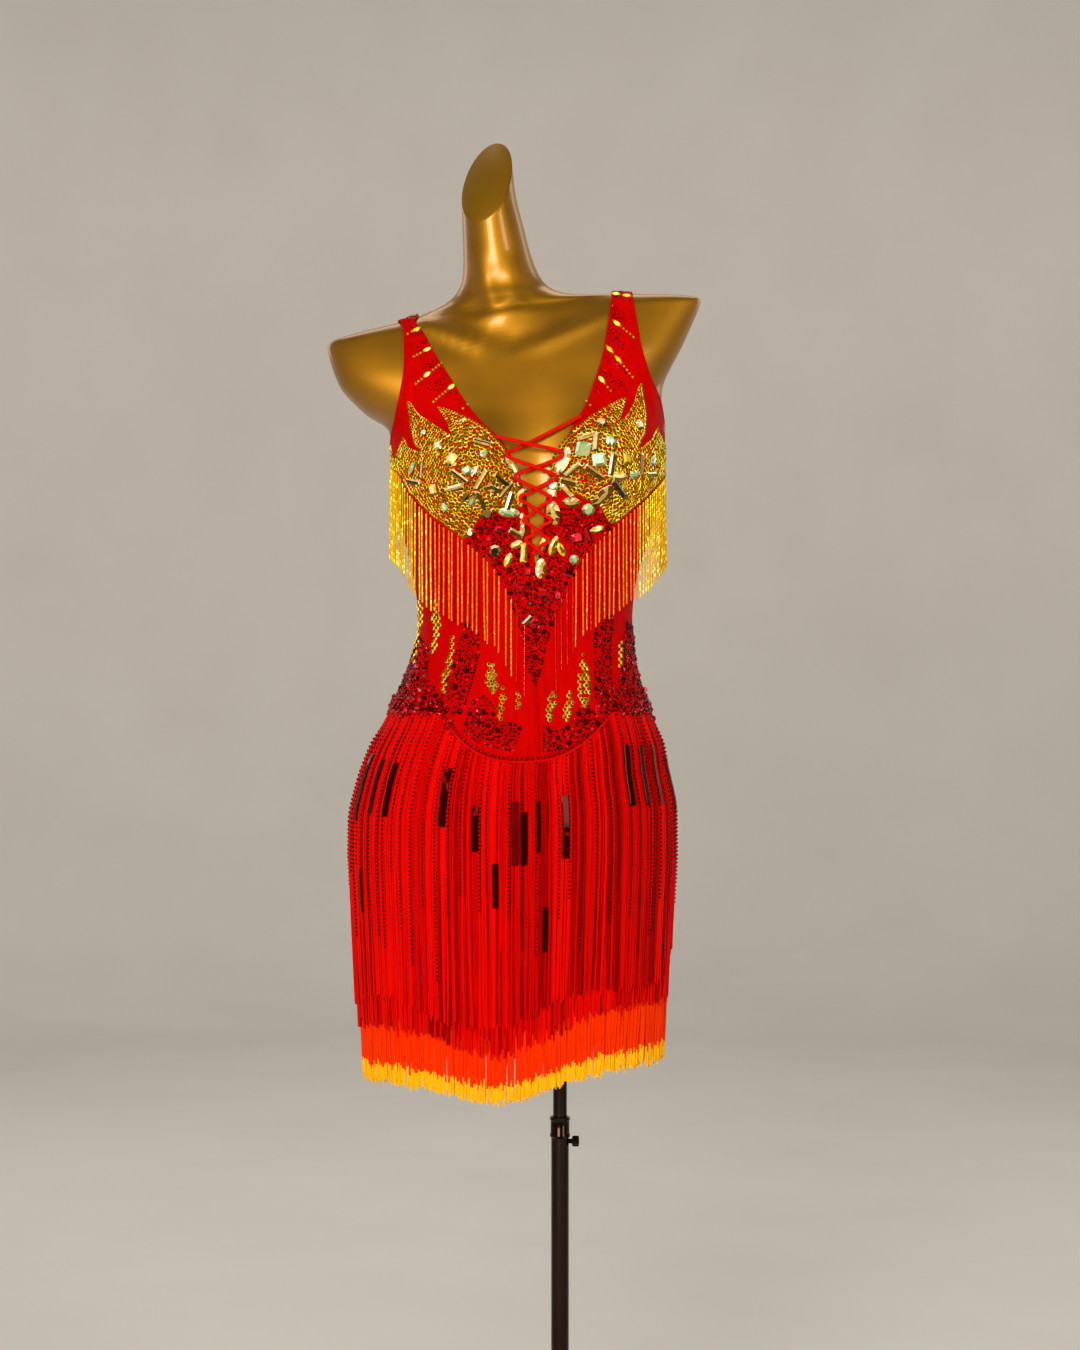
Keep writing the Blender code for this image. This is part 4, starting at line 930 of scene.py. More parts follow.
def straighten(line, rows, side, back):
    """Moves the part of an inner edge that is a seam onto the seam's own x."""
    table = np.array([r[:2] for r in rows[: len(BACK_SEAM if back else FRONT_SEAM)]])
    z = form_point(line[:, 0], line[:, 1])[:, 2]
    low = z < table[-1, 1]
    theta = places_at(np.interp(z[low], table[:, 1], table[:, 0]), z[low], back)[0]
    line[low, 0] = theta - (math.tau if back and side < 0 else 0)


def theta_of(x, v, side, back):
    """theta where the surface at v has this x, between the middle of the front or back and the side."""
    low = np.full(np.shape(x), math.pi / 2 if back else 0.0)
    high = low + math.pi / 2
    for _ in range(34):
        middle = (low + high) / 2
        short = (form_point(side * middle, v)[..., 0] - x) * (side if back else -side) > 0
        low, high = np.where(short, middle, low), np.where(short, high, middle)
    return side * (low + high) / 2


def eased(knots, values):
    """A curve through the values with no kinks."""
    curve = Curve(knots, values)
    curve.slopes = np.gradient(curve.values, curve.knots, axis=0)
    return curve


def panel_places(rows, side, back):
    """theta and v over a panel: a row of places for each level, from its inner to its outer edge.

    On the strap, where the surface turns over the shoulder, x leads instead of theta.
    """
    inner = np.array([edge_place(r[0], r[1], side, back) for r in rows])
    outer = np.array([edge_place(r[2], r[3], side, back) for r in rows])
    knots = distances((inner + outer) / 2, PLACE_SCALE)
    at = knots[-1] * np.interp(np.linspace(0, 1, PANEL_ROWS), ROW_SHARES, ROW_PLACES)
    inner_line, outer_line = eased(knots, inner)(at), Curve(knots, outer)(at)
    straighten(inner_line, rows, side, back)
    across = np.linspace(0, 1, PANEL_COLUMNS + 1)[None, :, None]
    places = inner_line[:, None] * (1 - across) + outer_line[:, None] * across
    edges = [np.column_stack([form_point(*line.T)[:, 0], line[:, 1]]) for line in (inner, outer)]
    inner_line, outer_line = (eased(knots, edge)(at) for edge in edges)
    on_strap = inner_line[:, None] * (1 - across) + outer_line[:, None] * across
    first = STRAP_FROM_BACK if back else STRAP_FROM_FRONT
    share = ramp(at, knots[first], knots[first + 1])[:, None]
    strap_theta = theta_of(on_strap[..., 0], on_strap[..., 1], side, back)
    places[..., 0] += share * (strap_theta - places[..., 0])
    places[..., 1] += share * (on_strap[..., 1] - places[..., 1])
    seam_v = v_for(places[0, :, 0], seam_height(places[0, :, 0]))
    fade = np.clip(1 - at / knots[2], 0, 1)[:, None] ** 1.5
    places[..., 1] += fade * (seam_v - places[0, :, 1])
    return places


def pulled_in(points, gap):
    """A grid of points whose outer rows and columns are moved in by a gap."""
    points = np.array(points, float)
    for axis in (0, 1):
        p = np.swapaxes(points, 0, axis)
        for edge, inner in ((0, 1), (-1, -2)):
            step = p[inner] - p[edge]
            p[edge] = p[edge] + step * gap / np.linalg.norm(step, axis=-1, keepdims=True)
    return points


def rim_of(index):
    """The indices round the edge of a grid, in order."""
    return np.concatenate([index[0], index[1:-1, -1], index[-1, ::-1], index[1:-1, 0][::-1]])


def cloth_wall(outside, inside):
    """Points and faces of a thin cloth between two grids, its edge turned in a soft fold."""
    rows, columns = outside.shape[:2]
    index = np.arange(rows * columns).reshape(rows, columns)
    quads = np.stack([index[:-1, :-1], index[:-1, 1:], index[1:, 1:], index[1:, :-1]], -1).reshape(-1, 4)
    inner = quads[:, ::-1] + rows * columns
    rim = rim_of(index)
    rim_outside, rim_inside = outside.reshape(-1, 3)[rim], inside.reshape(-1, 3)[rim]
    run = np.roll(rim_outside, 1, axis=0) - np.roll(rim_outside, -1, axis=0)
    away = np.cross(run, rim_outside - rim_inside)
    away /= np.linalg.norm(away, axis=1, keepdims=True) + 1e-12
    middle = (rim_outside + rim_inside) / 2
    inwards = outside[rows // 2, columns // 2] - middle
    flip = np.sign((away * inwards).sum(1).mean())
    folded = middle - flip * away * EDGE_FOLD
    verts = np.concatenate([outside.reshape(-1, 3), inside.reshape(-1, 3), folded])
    edge = np.arange(len(rim)) + 2 * rows * columns
    beyond, edge_beyond = np.roll(rim, -1), np.roll(edge, -1)
    turn = np.stack([rim, edge, edge_beyond, beyond], -1)
    under = np.stack([edge, rim + rows * columns, beyond + rows * columns, edge_beyond], -1)
    return verts, np.concatenate([quads, inner, turn, under]).tolist()


def make_panel(name, rows, side, back):
    """One panel of the bodice, stretched on its side of the body."""
    places = panel_places(rows, side, back)
    theta, v = places[..., 0], places[..., 1]
    outside = pulled_in(on_cloth(theta, v), SEAM_GAP / 2)
    inside = pulled_in(above_form(theta, v, CLOTH_OFF_FORM + crease(theta, v)), SEAM_GAP / 2)
    piece = new_piece(
        "cloth_" + name, *cloth_wall(outside, inside), SATIN, "stretch_red",
        replaces=(name,), sharp=CLOTH_SHARP,
    )
    return piece, places


SKIRT_COLUMNS, SKIRT_ROWS = 200, 36
RIPPLE, RIPPLES = 0.0008, 23  # height and number of the skirt's soft waves


def make_skirt():
    """The short stretch skirt under the fringes: a tube down from the hip seam."""
    theta = np.linspace(0, math.tau, SKIRT_COLUMNS, endpoint=False)
    share = np.linspace(0, 1, SKIRT_ROWS)[:, None]
    heights = (seam_height(theta) - SEAM_GAP) * (1 - share) + SKIRT_BOTTOM * share
    v = v_for(theta[None], heights)
    theta = np.broadcast_to(theta, v.shape)
    ripple = np.abs(RIPPLE * ramp(share, 0.1, 0.6) * np.sin(theta * RIPPLES + 3 * np.sin(theta * 3)))
    layers = [above_form(theta, v, out + ripple) for out in (CLOTH_OUTSIDE, CLOTH_OFF_FORM)]
    count = SKIRT_ROWS * SKIRT_COLUMNS
    index = np.arange(count).reshape(SKIRT_ROWS, SKIRT_COLUMNS)
    ring = np.roll(index, -1, axis=1)
    quads = np.stack([index[:-1], index[1:], ring[1:], ring[:-1]], -1).reshape(-1, 4)
    ends = [np.stack([index[r], ring[r], ring[r] + count, index[r] + count], -1) for r in (0, -1)]
    faces = np.concatenate([quads, quads[:, ::-1] + count, *ends])
    return new_piece(
        "cloth_skirt", np.stack(layers), faces.tolist(), SATIN, "stretch_red",
        replaces=("skirt_base",), sharp=CLOTH_SHARP,
    )


# ------------------------------------------------------------ sewing
STITCH_PITCH, STITCH_LENGTH, STITCH_WIDTH = 0.0034, 0.0026, 0.0007
HEM_ROWS = (0.0045, 0.0075)  # twin-needle rows, from the edge
SEAM_ROW = 0.0035  # the single row beside a seam, from the edge
SEAM_ROW_START = 2  # the panel's row where it starts
NECKLINE_START_FRONT, NECKLINE_START_BACK = 1.10, 1.175
NARROWEST = 0.004  # a panel is taken as at least this wide


def edge_line(places, outer, inset, first=0, last=None):
    """theta and v along a panel's inner or outer edge, moved in by a distance, between two of its rows."""
    rows = places[first:last]
    one, other = (rows[:, -1], rows[:, 0]) if outer else (rows[:, 0], rows[:, -1])
    width = np.linalg.norm(form_point(*one.T) - form_point(*other.T), axis=1)
    share = (inset / np.maximum(width, NARROWEST))[:, None]
    return one * (1 - share) + other * share


def sew(line):
    """Stitches at an even pitch along a line of places, as a lot of points and faces."""
    along = distances(form_point(line[:, 0], line[:, 1]))
    at = np.arange(STITCH_PITCH / 2, along[-1], STITCH_PITCH)
    theta, v = np.interp(at, along, line[:, 0]), np.interp(at, along, line[:, 1])
    points, normals = seat(theta, v, 0.0001)
    run = np.gradient(points, axis=0)
    level = level_in(normals)
    spins = np.arctan2((run * np.cross(normals, level)).sum(1), (run * level).sum(1))
    shape, faces = STITCH
    lying = shape[:, [2, 0, 1]], faces
    return *set_down(lying, points, normals, (STITCH_LENGTH, STITCH_WIDTH, STITCH_WIDTH), spins), 0


def row_at(places, z, column=0):
    """The row of a panel whose inner edge, or another column, is at a height."""
    return int(np.abs(form_point(places[:, column, 0], places[:, column, 1])[:, 2] - z).argmin())


def make_stitches(panels):
    """Twin rows along the neckline and armholes, and one on each side of the seams."""
    lots = []
    for name, places in panels.items():
        neck = row_at(places, NECKLINE_START_BACK if name.startswith("back") else NECKLINE_START_FRONT)
        arm = row_at(places, UNDERARM, -1)
        for inset in HEM_ROWS:
            lots.append(sew(edge_line(places, False, inset, neck)))
            lots.append(sew(edge_line(places, True, inset, arm)))
        lots.append(sew(edge_line(places, False, SEAM_ROW, SEAM_ROW_START, neck)))
        lots.append(sew(edge_line(places, True, SEAM_ROW, SEAM_ROW_START, arm)))
    return piece_of("hem_and_seam_stitches", lots, THREAD, "stretch_red")


# ------------------------------------------------------------ stones
# Zones of the front that are filled with stones, as outlines of x and z.
GOLD_ZONES = {
    "right": (
        ((-0.171, 1.254), (-0.165, 1.242), (-0.147, 1.233), (-0.158, 1.249), (-0.163, 1.270), (-0.166, 1.294),
         (-0.155, 1.279), (-0.132, 1.261), (-0.111, 1.244), (-0.122, 1.270), (-0.132, 1.286), (-0.112, 1.277),
         (-0.089, 1.264), (-0.077, 1.254), (-0.062, 1.236), (-0.049, 1.219), (-0.046, 1.199), (-0.044, 1.179),
         (-0.062, 1.174), (-0.086, 1.173), (-0.094, 1.160), (-0.105, 1.144), (-0.116, 1.153), (-0.139, 1.170),
         (-0.163, 1.196), (-0.176, 1.219), (-0.178, 1.238)),
    ),
    "left": (
        ((0.106, 1.266), (0.099, 1.253), (0.089, 1.242), (0.081, 1.241), (0.090, 1.260), (0.092, 1.281),
         (0.087, 1.316), (0.080, 1.290), (0.071, 1.274), (0.060, 1.265), (0.070, 1.297), (0.048, 1.284),
         (0.033, 1.273), (0.018, 1.260), (0.005, 1.247), (-0.005, 1.232), (-0.012, 1.209), (-0.012, 1.197),
         (0.008, 1.196), (0.025, 1.189), (0.045, 1.179), (0.052, 1.166), (0.057, 1.161), (0.067, 1.170),
         (0.091, 1.191), (0.107, 1.209), (0.117, 1.230), (0.114, 1.249)),
    ),
}
RUBY_ZONES = {
    "right": (
        ((-0.105, 1.143), (-0.096, 1.158), (-0.086, 1.170), (-0.047, 1.174), (-0.039, 1.155), (-0.037, 1.130),
         (-0.029, 1.100), (-0.027, 1.065), (-0.028, 0.980), (-0.036, 1.003), (-0.042, 1.035), (-0.049, 1.060),
         (-0.058, 1.085), (-0.070, 1.109), (-0.093, 1.133)),
        ((-0.154, 1.036), (-0.143, 1.020), (-0.145, 0.990), (-0.129, 0.970), (-0.122, 0.990), (-0.112, 1.020),
         (-0.102, 1.050), (-0.089, 1.040), (-0.089, 1.015), (-0.097, 0.983), (-0.106, 0.953), (-0.191, 0.952),
         (-0.188, 0.959), (-0.180, 0.980), (-0.168, 1.006)),
        ((-0.104, 0.934), (-0.096, 0.965), (-0.081, 0.971), (-0.063, 0.943), (-0.043, 0.938), (-0.052, 0.912),
         (-0.072, 0.916), (-0.092, 0.923)),
    ),
    "left": (
        ((0.056, 1.160), (0.046, 1.176), (0.033, 1.174), (-0.012, 1.175), (-0.016, 1.155), (-0.022, 1.130),
         (-0.026, 1.100), (-0.027, 1.065), (-0.027, 0.980), (-0.019, 1.015), (-0.012, 1.043), (-0.004, 1.065),
         (0.008, 1.090), (0.022, 1.120), (0.044, 1.145)),
        ((0.081, 1.047), (0.086, 1.021), (0.088, 0.995), (0.095, 0.969), (0.096, 0.952), (0.038, 0.953),
         (0.037, 0.990), (0.035, 1.040), (0.049, 1.056), (0.056, 1.061), (0.053, 1.028), (0.054, 0.990),
         (0.057, 0.965), (0.064, 0.990), (0.067, 1.028), (0.072, 1.051)),
        ((-0.019, 0.938), (-0.003, 0.932), (0.012, 0.943), (0.025, 0.965), (0.036, 0.951), (0.043, 0.945),
         (0.025, 0.925), (0.003, 0.914), (-0.019, 0.911)),
    ),
}
WAIST_FLAMES = {
    "right": (
        ((-0.158, 1.077), (-0.151, 1.077), (-0.150, 1.054), (-0.154, 1.028), (-0.159, 1.008), (-0.163, 1.016),
         (-0.159, 1.047)),
        ((-0.138, 1.076), (-0.133, 1.066), (-0.130, 1.051), (-0.133, 1.035), (-0.138, 1.015), (-0.141, 1.015),
         (-0.138, 1.036), (-0.139, 1.056)),
        ((-0.117, 1.040), (-0.115, 1.030), (-0.118, 1.008), (-0.122, 0.993), (-0.125, 0.975), (-0.129, 0.980),
         (-0.127, 0.995), (-0.121, 1.015), (-0.120, 1.028)),
        ((-0.076, 1.014), (-0.072, 1.003), (-0.068, 0.988), (-0.070, 0.978), (-0.075, 0.975), (-0.081, 0.983),
         (-0.079, 0.998)),
        ((-0.063, 0.979), (-0.060, 0.970), (-0.063, 0.955), (-0.064, 0.946), (-0.069, 0.946), (-0.068, 0.958),
         (-0.065, 0.968)),
        ((-0.047, 0.979), (-0.045, 0.968), (-0.045, 0.958), (-0.048, 0.955), (-0.049, 0.965)),
    ),
    "left": (
        ((-0.007, 0.979), (-0.006, 0.968), (-0.010, 0.953), (-0.011, 0.945), (-0.017, 0.945), (-0.016, 0.958),
         (-0.012, 0.970)),
        ((0.009, 0.980), (0.012, 0.965), (0.010, 0.950), (0.004, 0.945), (0.002, 0.955), (0.006, 0.968)),
        ((0.024, 1.018), (0.028, 1.000), (0.031, 0.980), (0.029, 0.960), (0.023, 0.960), (0.018, 0.973),
         (0.020, 0.995)),
        ((0.064, 1.033), (0.067, 1.026), (0.065, 1.000), (0.062, 1.005), (0.062, 1.021)),
    ),
}
# How much longer and wider a stone is than the part of it that glints.
GIRDLE_SHARES, GIRDLE_WIDER = {"r": 1.35, "s": 1.35, "o": 1.40, "b": 1.42}, 1.35
# Big stones: x, z, cut (round, square, leaf or bar), width and length of what glints in mm, angle, colour.
BIG_STONES = {
    "right": (
        (-0.148, 1.258, "r", 5.5, 5.5, 0, "ab"), (-0.104, 1.269, "r", 5, 5, 0, "gold"),
        (-0.131, 1.242, "s", 7.5, 7.5, 10, "clear"), (-0.116, 1.226, "s", 9, 9, -20, "gold"),
        (-0.161, 1.220, "o", 6, 11, 60, "ab"), (-0.150, 1.217, "b", 3.5, 14, 85, "smoke"),
        (-0.158, 1.205, "b", 4, 17, -10, "smoke"), (-0.136, 1.195, "s", 9, 9, 5, "gold"),
        (-0.124, 1.177, "o", 6, 8, -60, "ab"), (-0.086, 1.244, "b", 4, 14, -15, "clear"),
        (-0.084, 1.231, "r", 7, 7, 0, "ab"), (-0.101, 1.213, "s", 6, 7, 30, "ab"),
        (-0.093, 1.212, "o", 6, 10, 60, "clear"), (-0.108, 1.207, "b", 4, 17, -35, "smoke"),
        (-0.087, 1.204, "b", 4, 18, 60, "clear"), (-0.113, 1.196, "b", 5, 18, 10, "clear"),
        (-0.104, 1.185, "b", 4, 15, 50, "smoke"), (-0.087, 1.184, "b", 4, 17, -60, "clear"),
        (-0.096, 1.183, "o", 6, 10, 70, "ab"), (-0.074, 1.196, "o", 8, 15, -20, "clear"),
        (-0.065, 1.204, "b", 4, 16, -30, "smoke"), (-0.055, 1.223, "o", 7, 13, -50, "clear"),
        (-0.051, 1.214, "o", 8, 18, -65, "clear"), (-0.060, 1.194, "b", 4, 16, 50, "clear"),
        (-0.056, 1.183, "b", 5, 14, 75, "clear"), (-0.045, 1.187, "o", 6, 12, 80, "gold"),
        (-0.041, 1.186, "b", 5, 14, 85, "clear"), (-0.057, 1.171, "o", 8, 18, -5, "ab"),
        (-0.041, 1.162, "o", 6, 12, -80, "clear"), (-0.041, 1.151, "o", 6, 13, 85, "clear"),
        (-0.049, 1.148, "b", 5, 11, -30, "clear"), (-0.048, 1.136, "o", 6, 10, 25, "gold"),
        (-0.071, 1.129, "r", 10, 10, 0, "smoke"), (-0.080, 1.169, "r", 9, 9, 0, "smoke"),
        (-0.040, 1.127, "b", 5, 15, 85, "gold"), (-0.057, 1.119, "o", 6, 12, 70, "gold"),
        (-0.067, 1.152, "r", 7, 7, 0, "ruby"), (-0.098, 1.150, "r", 8, 8, 0, "smoke"),
        (-0.036, 1.106, "s", 6, 6, 0, "ruby"), (-0.048, 1.089, "b", 3, 9, -75, "ruby"),
        (-0.036, 1.053, "b", 4, 9, 45, "clear"), (-0.028, 1.051, "o", 7, 9, 0, "ruby"),
    ),
    "left": (
        (0.044, 1.267, "r", 9, 9, 0, "smoke"), (0.028, 1.251, "b", 4, 14, 20, "clear"),
        (0.038, 1.245, "b", 5, 17, 85, "smoke"), (0.025, 1.237, "s", 12, 12, -8, "ab"),
        (0.053, 1.246, "r", 9, 9, 0, "ab"), (0.006, 1.227, "o", 9, 20, 80, "clear"),
        (-0.000, 1.218, "o", 9, 12, 70, "clear"), (0.014, 1.215, "b", 5, 16, 35, "clear"),
        (0.041, 1.225, "s", 11, 11, 8, "ab"), (0.054, 1.221, "b", 5, 18, 75, "clear"),
        (0.010, 1.203, "b", 5, 14, -15, "clear"), (0.008, 1.193, "b", 5, 13, -50, "clear"),
        (0.036, 1.212, "b", 5, 17, -35, "clear"), (0.044, 1.189, "o", 11, 24, 62, "clear"),
        (0.060, 1.209, "o", 8, 19, 0, "gold"), (0.078, 1.212, "o", 8, 13, 10, "ab"),
        (0.061, 1.197, "b", 5, 20, -35, "smoke"), (0.070, 1.228, "s", 9, 9, 0, "gold"),
        (0.087, 1.224, "b", 4, 18, 80, "clear"), (0.100, 1.230, "o", 8, 12, 40, "ab"),
        (0.098, 1.215, "b", 4, 16, 5, "gold"), (0.085, 1.268, "r", 9, 9, 0, "clear"),
        (0.012, 1.182, "o", 9, 16, 0, "clear"), (-0.008, 1.171, "o", 11, 20, -80, "clear"),
        (-0.007, 1.199, "r", 8, 8, 0, "ab"), (-0.009, 1.191, "s", 7, 7, 0, "clear"),
        (0.030, 1.175, "r", 11, 11, 0, "ab"), (0.018, 1.144, "s", 8, 10, 15, "ruby"),
        (0.029, 1.148, "b", 3, 12, -60, "ruby"), (0.039, 1.154, "o", 6, 12, 15, "gold"),
        (0.014, 1.120, "r", 8, 8, 0, "ab"), (-0.019, 1.137, "o", 6, 14, 70, "gold"),
        (-0.008, 1.135, "o", 7, 16, 70, "gold"), (0.000, 1.131, "o", 6, 12, -60, "gold"),
        (-0.022, 1.110, "o", 9, 16, 85, "clear"), (0.008, 1.105, "b", 5, 8, -15, "ruby"),
        (-0.020, 1.083, "s", 7, 7, 0, "ruby"), (-0.004, 1.080, "s", 7, 7, 0, "ruby"),
    ),
}
CUTS = {"r": ROUND_STONE, "s": SQUARE_STONE, "o": LEAF_STONE, "b": BAR_STONE}
TINTS = list(CRYSTALS)
HANDS = {"right": -1, "left": 1}  # the sign of x on each side
LAMP_SIDE = np.array((-0.40, -0.30, 0.86))  # where most of the light comes from
LEAN_STEPS, LEAN_SPREAD = (-0.45, 0.05), 0.22  # between painted-highlight, middle and painted-shade facets, and its chance
BAR_TABLES, OTHER_TABLES = (0.12, 0.23, 0.65), (0.50, 0.35, 0.15)  # chances of a painted-highlight, middle and painted-shade table
LARGE_GOLD, SMALL_GOLD, WAIST_GOLD = 0.0047, 0.0032, 0.0043  # pitches of the stones
LARGE_RUBY, SMALL_RUBY, STRAP_RUBY = 0.0068, 0.0034, 0.0026
LARGE_RUBY_SPACING = 0.0105
# Large gold stones lie beside the lacing: its x, how far they reach from it, and up to what height.
LARGE_GOLD_MIDDLE, LARGE_GOLD_REACH, LARGE_GOLD_TOP = -0.029, 0.098, 1.262
STONE_SINK = 0.0001
STONE_HEIGHT = 0.42  # share of a stone's width
SPARKLE_HEIGHT = 0.5  # the same for the stones of the hip seam
MISS_LIMIT = 0.002  # a place found farther than this from where it was sought is left out
TRIES = 2600  # places tried for the side flames, and for the bands of one strap
SCATTER_TRIES = 300
STRAP_BANDS_START, STRAP_BAND_PITCH, STRAP_BAND_SLANT = 1.30, 0.027, 0.75


class StoneBed:
    """The places that stones already take, so that the next ones keep off them."""

    cell = 0.012

    def __init__(self):
        self.taken = {}

    def key(self, point):
        return tuple(np.floor(point / self.cell).astype(int))

    def is_free(self, point, radius):
        a, b, c = self.key(point)
        for i in (a - 1, a, a + 1):
            for j in (b - 1, b, b + 1):
                for k in (c - 1, c, c + 1):
                    for other, reach in self.taken.get((i, j, k), ()):
                        room = radius + reach
                        away = (point[0] - other[0]) ** 2 + (point[1] - other[1]) ** 2
                        if away + (point[2] - other[2]) ** 2 < room * room:
                            return False
        return True

    def take(self, point, radius):
        self.taken.setdefault(self.key(point), []).append((tuple(point), radius))


BED = StoneBed()


def within(outline, x, z):
    """Which places are inside an outline."""
    inside = np.zeros(np.shape(x), bool)
    ends = np.roll(np.asarray(outline), -1, axis=0)
    for (ax, az), (bx, bz) in zip(outline, ends):
        if az != bz:
            cross = ((az > z) != (bz > z)) & (x < (bx - ax) * (z - az) / (bz - az) + ax)
            inside ^= cross
    return inside


# Shares of a pitch.
EDGE_STEP = 0.25  # between the places tried along an outline
GRID_ALONG, GRID_ACROSS, GRID_SHIFT = 1.02, 0.885, 0.51  # of the rows tried inside it
LARGE_JITTER, SMALL_JITTER, CLOSEST = 0.40, 0.13, 0.90
PACK_GROW, PACK_START, PACK_ROW, PACK_CLOSEST = 0.3, 0.3, 0.866, 0.93  # for a flame's close rows
TRIES_EACH = 14  # random places tried for each square pitch of a zone
NUDGE = 0.0002


def fill_zone(outline, pitch, reach=1.0):
    """theta, v of stones that fill an outline on the front, as close as the pitch: first its edge.

    reach keeps large ones to a width beside the lacing.
    """
    corners = np.array(outline + outline[:1])
    along = distances(corners)
    at = np.arange(0, along[-1], pitch * EDGE_STEP)
    x, z = np.interp(at, along, corners[:, 0]), np.interp(at, along, corners[:, 1])
    low, high = corners.min(0), corners.max(0)
    tries = int(np.prod(high - low) / pitch**2 * TRIES_EACH)
    rows = np.mgrid[low[0] : high[0] : pitch * GRID_ALONG, low[1] : high[1] : pitch * GRID_ACROSS]
    rows[0] += pitch * GRID_SHIFT * (np.arange(rows.shape[2]) % 2)
    rows = rows.reshape(2, -1).T
    rows = rows + rng.normal(0, pitch * (LARGE_JITTER if reach < 1 else SMALL_JITTER), rows.shape)
    spread = np.concatenate([rows, rng.uniform(low, high, (tries, 2))])
    spread = spread[within(outline, spread[:, 0], spread[:, 1])]
    x, z = np.concatenate([x, spread[:, 0]]), np.concatenate([z, spread[:, 1]])
    if reach < 1:
        near = np.abs(x - LARGE_GOLD_MIDDLE) < reach * rng.uniform(0.8, 1.0, len(x))
        near &= z < LARGE_GOLD_TOP
        x, z = x[near], z[near]
    theta, v = places_at(x, z)
    missed = np.hypot(*(form_point(theta, v)[:, [0, 2]] - np.column_stack([x, z])).T)
    return choose(theta, v, pitch * CLOSEST, missed < MISS_LIMIT)


def pack_zone(outline, pitch):
    """theta, v of stones that fill a narrow flame in close rows."""
    corners = np.array(outline)
    middle = corners.mean(0)
    away = corners - middle
    far = np.maximum(np.linalg.norm(away, axis=1, keepdims=True), pitch)
    corners = middle + away * (1 + PACK_GROW * pitch / far)
    low, high = corners.min(0), corners.max(0)
    bottom = low[1] + pitch * PACK_START
    z, x = np.mgrid[bottom : high[1] : pitch * PACK_ROW, low[0] : high[0] + pitch : pitch]
    x = x + pitch * 0.5 * (np.arange(len(x)) % 2)[:, None]
    keep = within(corners, x, z)
    nudge = rng.normal(0, NUDGE, (2, keep.sum()))
    return choose(*places_at(x[keep] + nudge[0], z[keep] + nudge[1]), pitch * PACK_CLOSEST)


def scatter(outline, spacing, size):
    """theta, v of a few larger stones, well apart, in an outline."""
    low, high = np.min(outline, axis=0), np.max(outline, axis=0)
    spots = rng.uniform(low, high, (SCATTER_TRIES, 2))
    spots = spots[within(outline, spots[:, 0], spots[:, 1])]
    theta, v = places_at(spots[:, 0], spots[:, 1])
    points = on_cloth(theta, v)
    kept = []
    for n, point in enumerate(points):
        apart = all(np.linalg.norm(point - points[k]) > spacing for k in kept)
        if apart and BED.is_free(point, size / 2):
            kept.append(n)
            BED.take(point, size / 2)
    return theta[kept], v[kept]


def choose(theta, v, pitch, wanted=None):
    """Of many places, those that keep a pitch from each other and from all stones before them."""
    points = on_cloth(theta, v)
    kept = []
    for n, point in enumerate(points):
        if (wanted is None or wanted[n]) and BED.is_free(point, pitch / 2):
            BED.take(point, pitch / 2)
            kept.append(n)
    return theta[kept], v[kept]


def stone_lots(theta, v, pitch, share=(0.90, 1.10), tilt=0.12, template=CUP_STONE, mix=(0.45, 0.35, 0.20)):
    """Stones at places, in lots of points and faces with their finish. A cup's well has the last finish, a
    painted shade.
    """
    points, normals = seat(theta, v, -STONE_SINK)
    wide = pitch * rng.uniform(*share, len(points))
    kinds = rng.choice(len(mix), len(points), p=mix)
    spins = rng.uniform(0, math.tau, len(points))
    lots = []
    for kind in range(len(mix)):
        of = kinds == kind
        if of.any():
            size = np.column_stack([wide[of], wide[of], wide[of] * STONE_HEIGHT])
            shades = [kind] * len(template[1])
            if template is CUP_STONE:
                shades[2 * CUP_SIDES : 3 * CUP_SIDES] = [PAINTED_WELL_SHADE] * CUP_SIDES
                shades[-1] = PAINTED_WELL_SHADE
            stones = set_down(template, points[of], normals[of], size, spins[of], tilt)
            lots.append((*stones, shades * int(of.sum())))
    return lots


def painted_facet_shades(points, facets, tables):
    """0, 1 or 2 for each facet: painted highlight where it leans to the lamps, middle, or painted shade where
    it leans away; the table's is drawn by chance.
    """
    shades = []
    for facet in facets:
        one, two, three = points[list(facet[:3])]
        normal = np.cross(two - one, three - one)
        lean = normal @ LAMP_SIDE / np.linalg.norm(normal) + rng.normal(0, LEAN_SPREAD)
        shades.append(int(np.searchsorted(LEAN_STEPS, -lean)))
    shades[1] = int(rng.choice(3, p=tables))
    return np.array(shades)


CRYSTAL_HEIGHT, CRYSTAL_HEIGHT_EACH = 0.0016, 0.0001  # and for each mm of width
CRYSTAL_LIFT, CRYSTAL_TILT = 0.0002, 0.05
CRYSTAL_REACH = 0.42  # share of its width that keeps small stones off


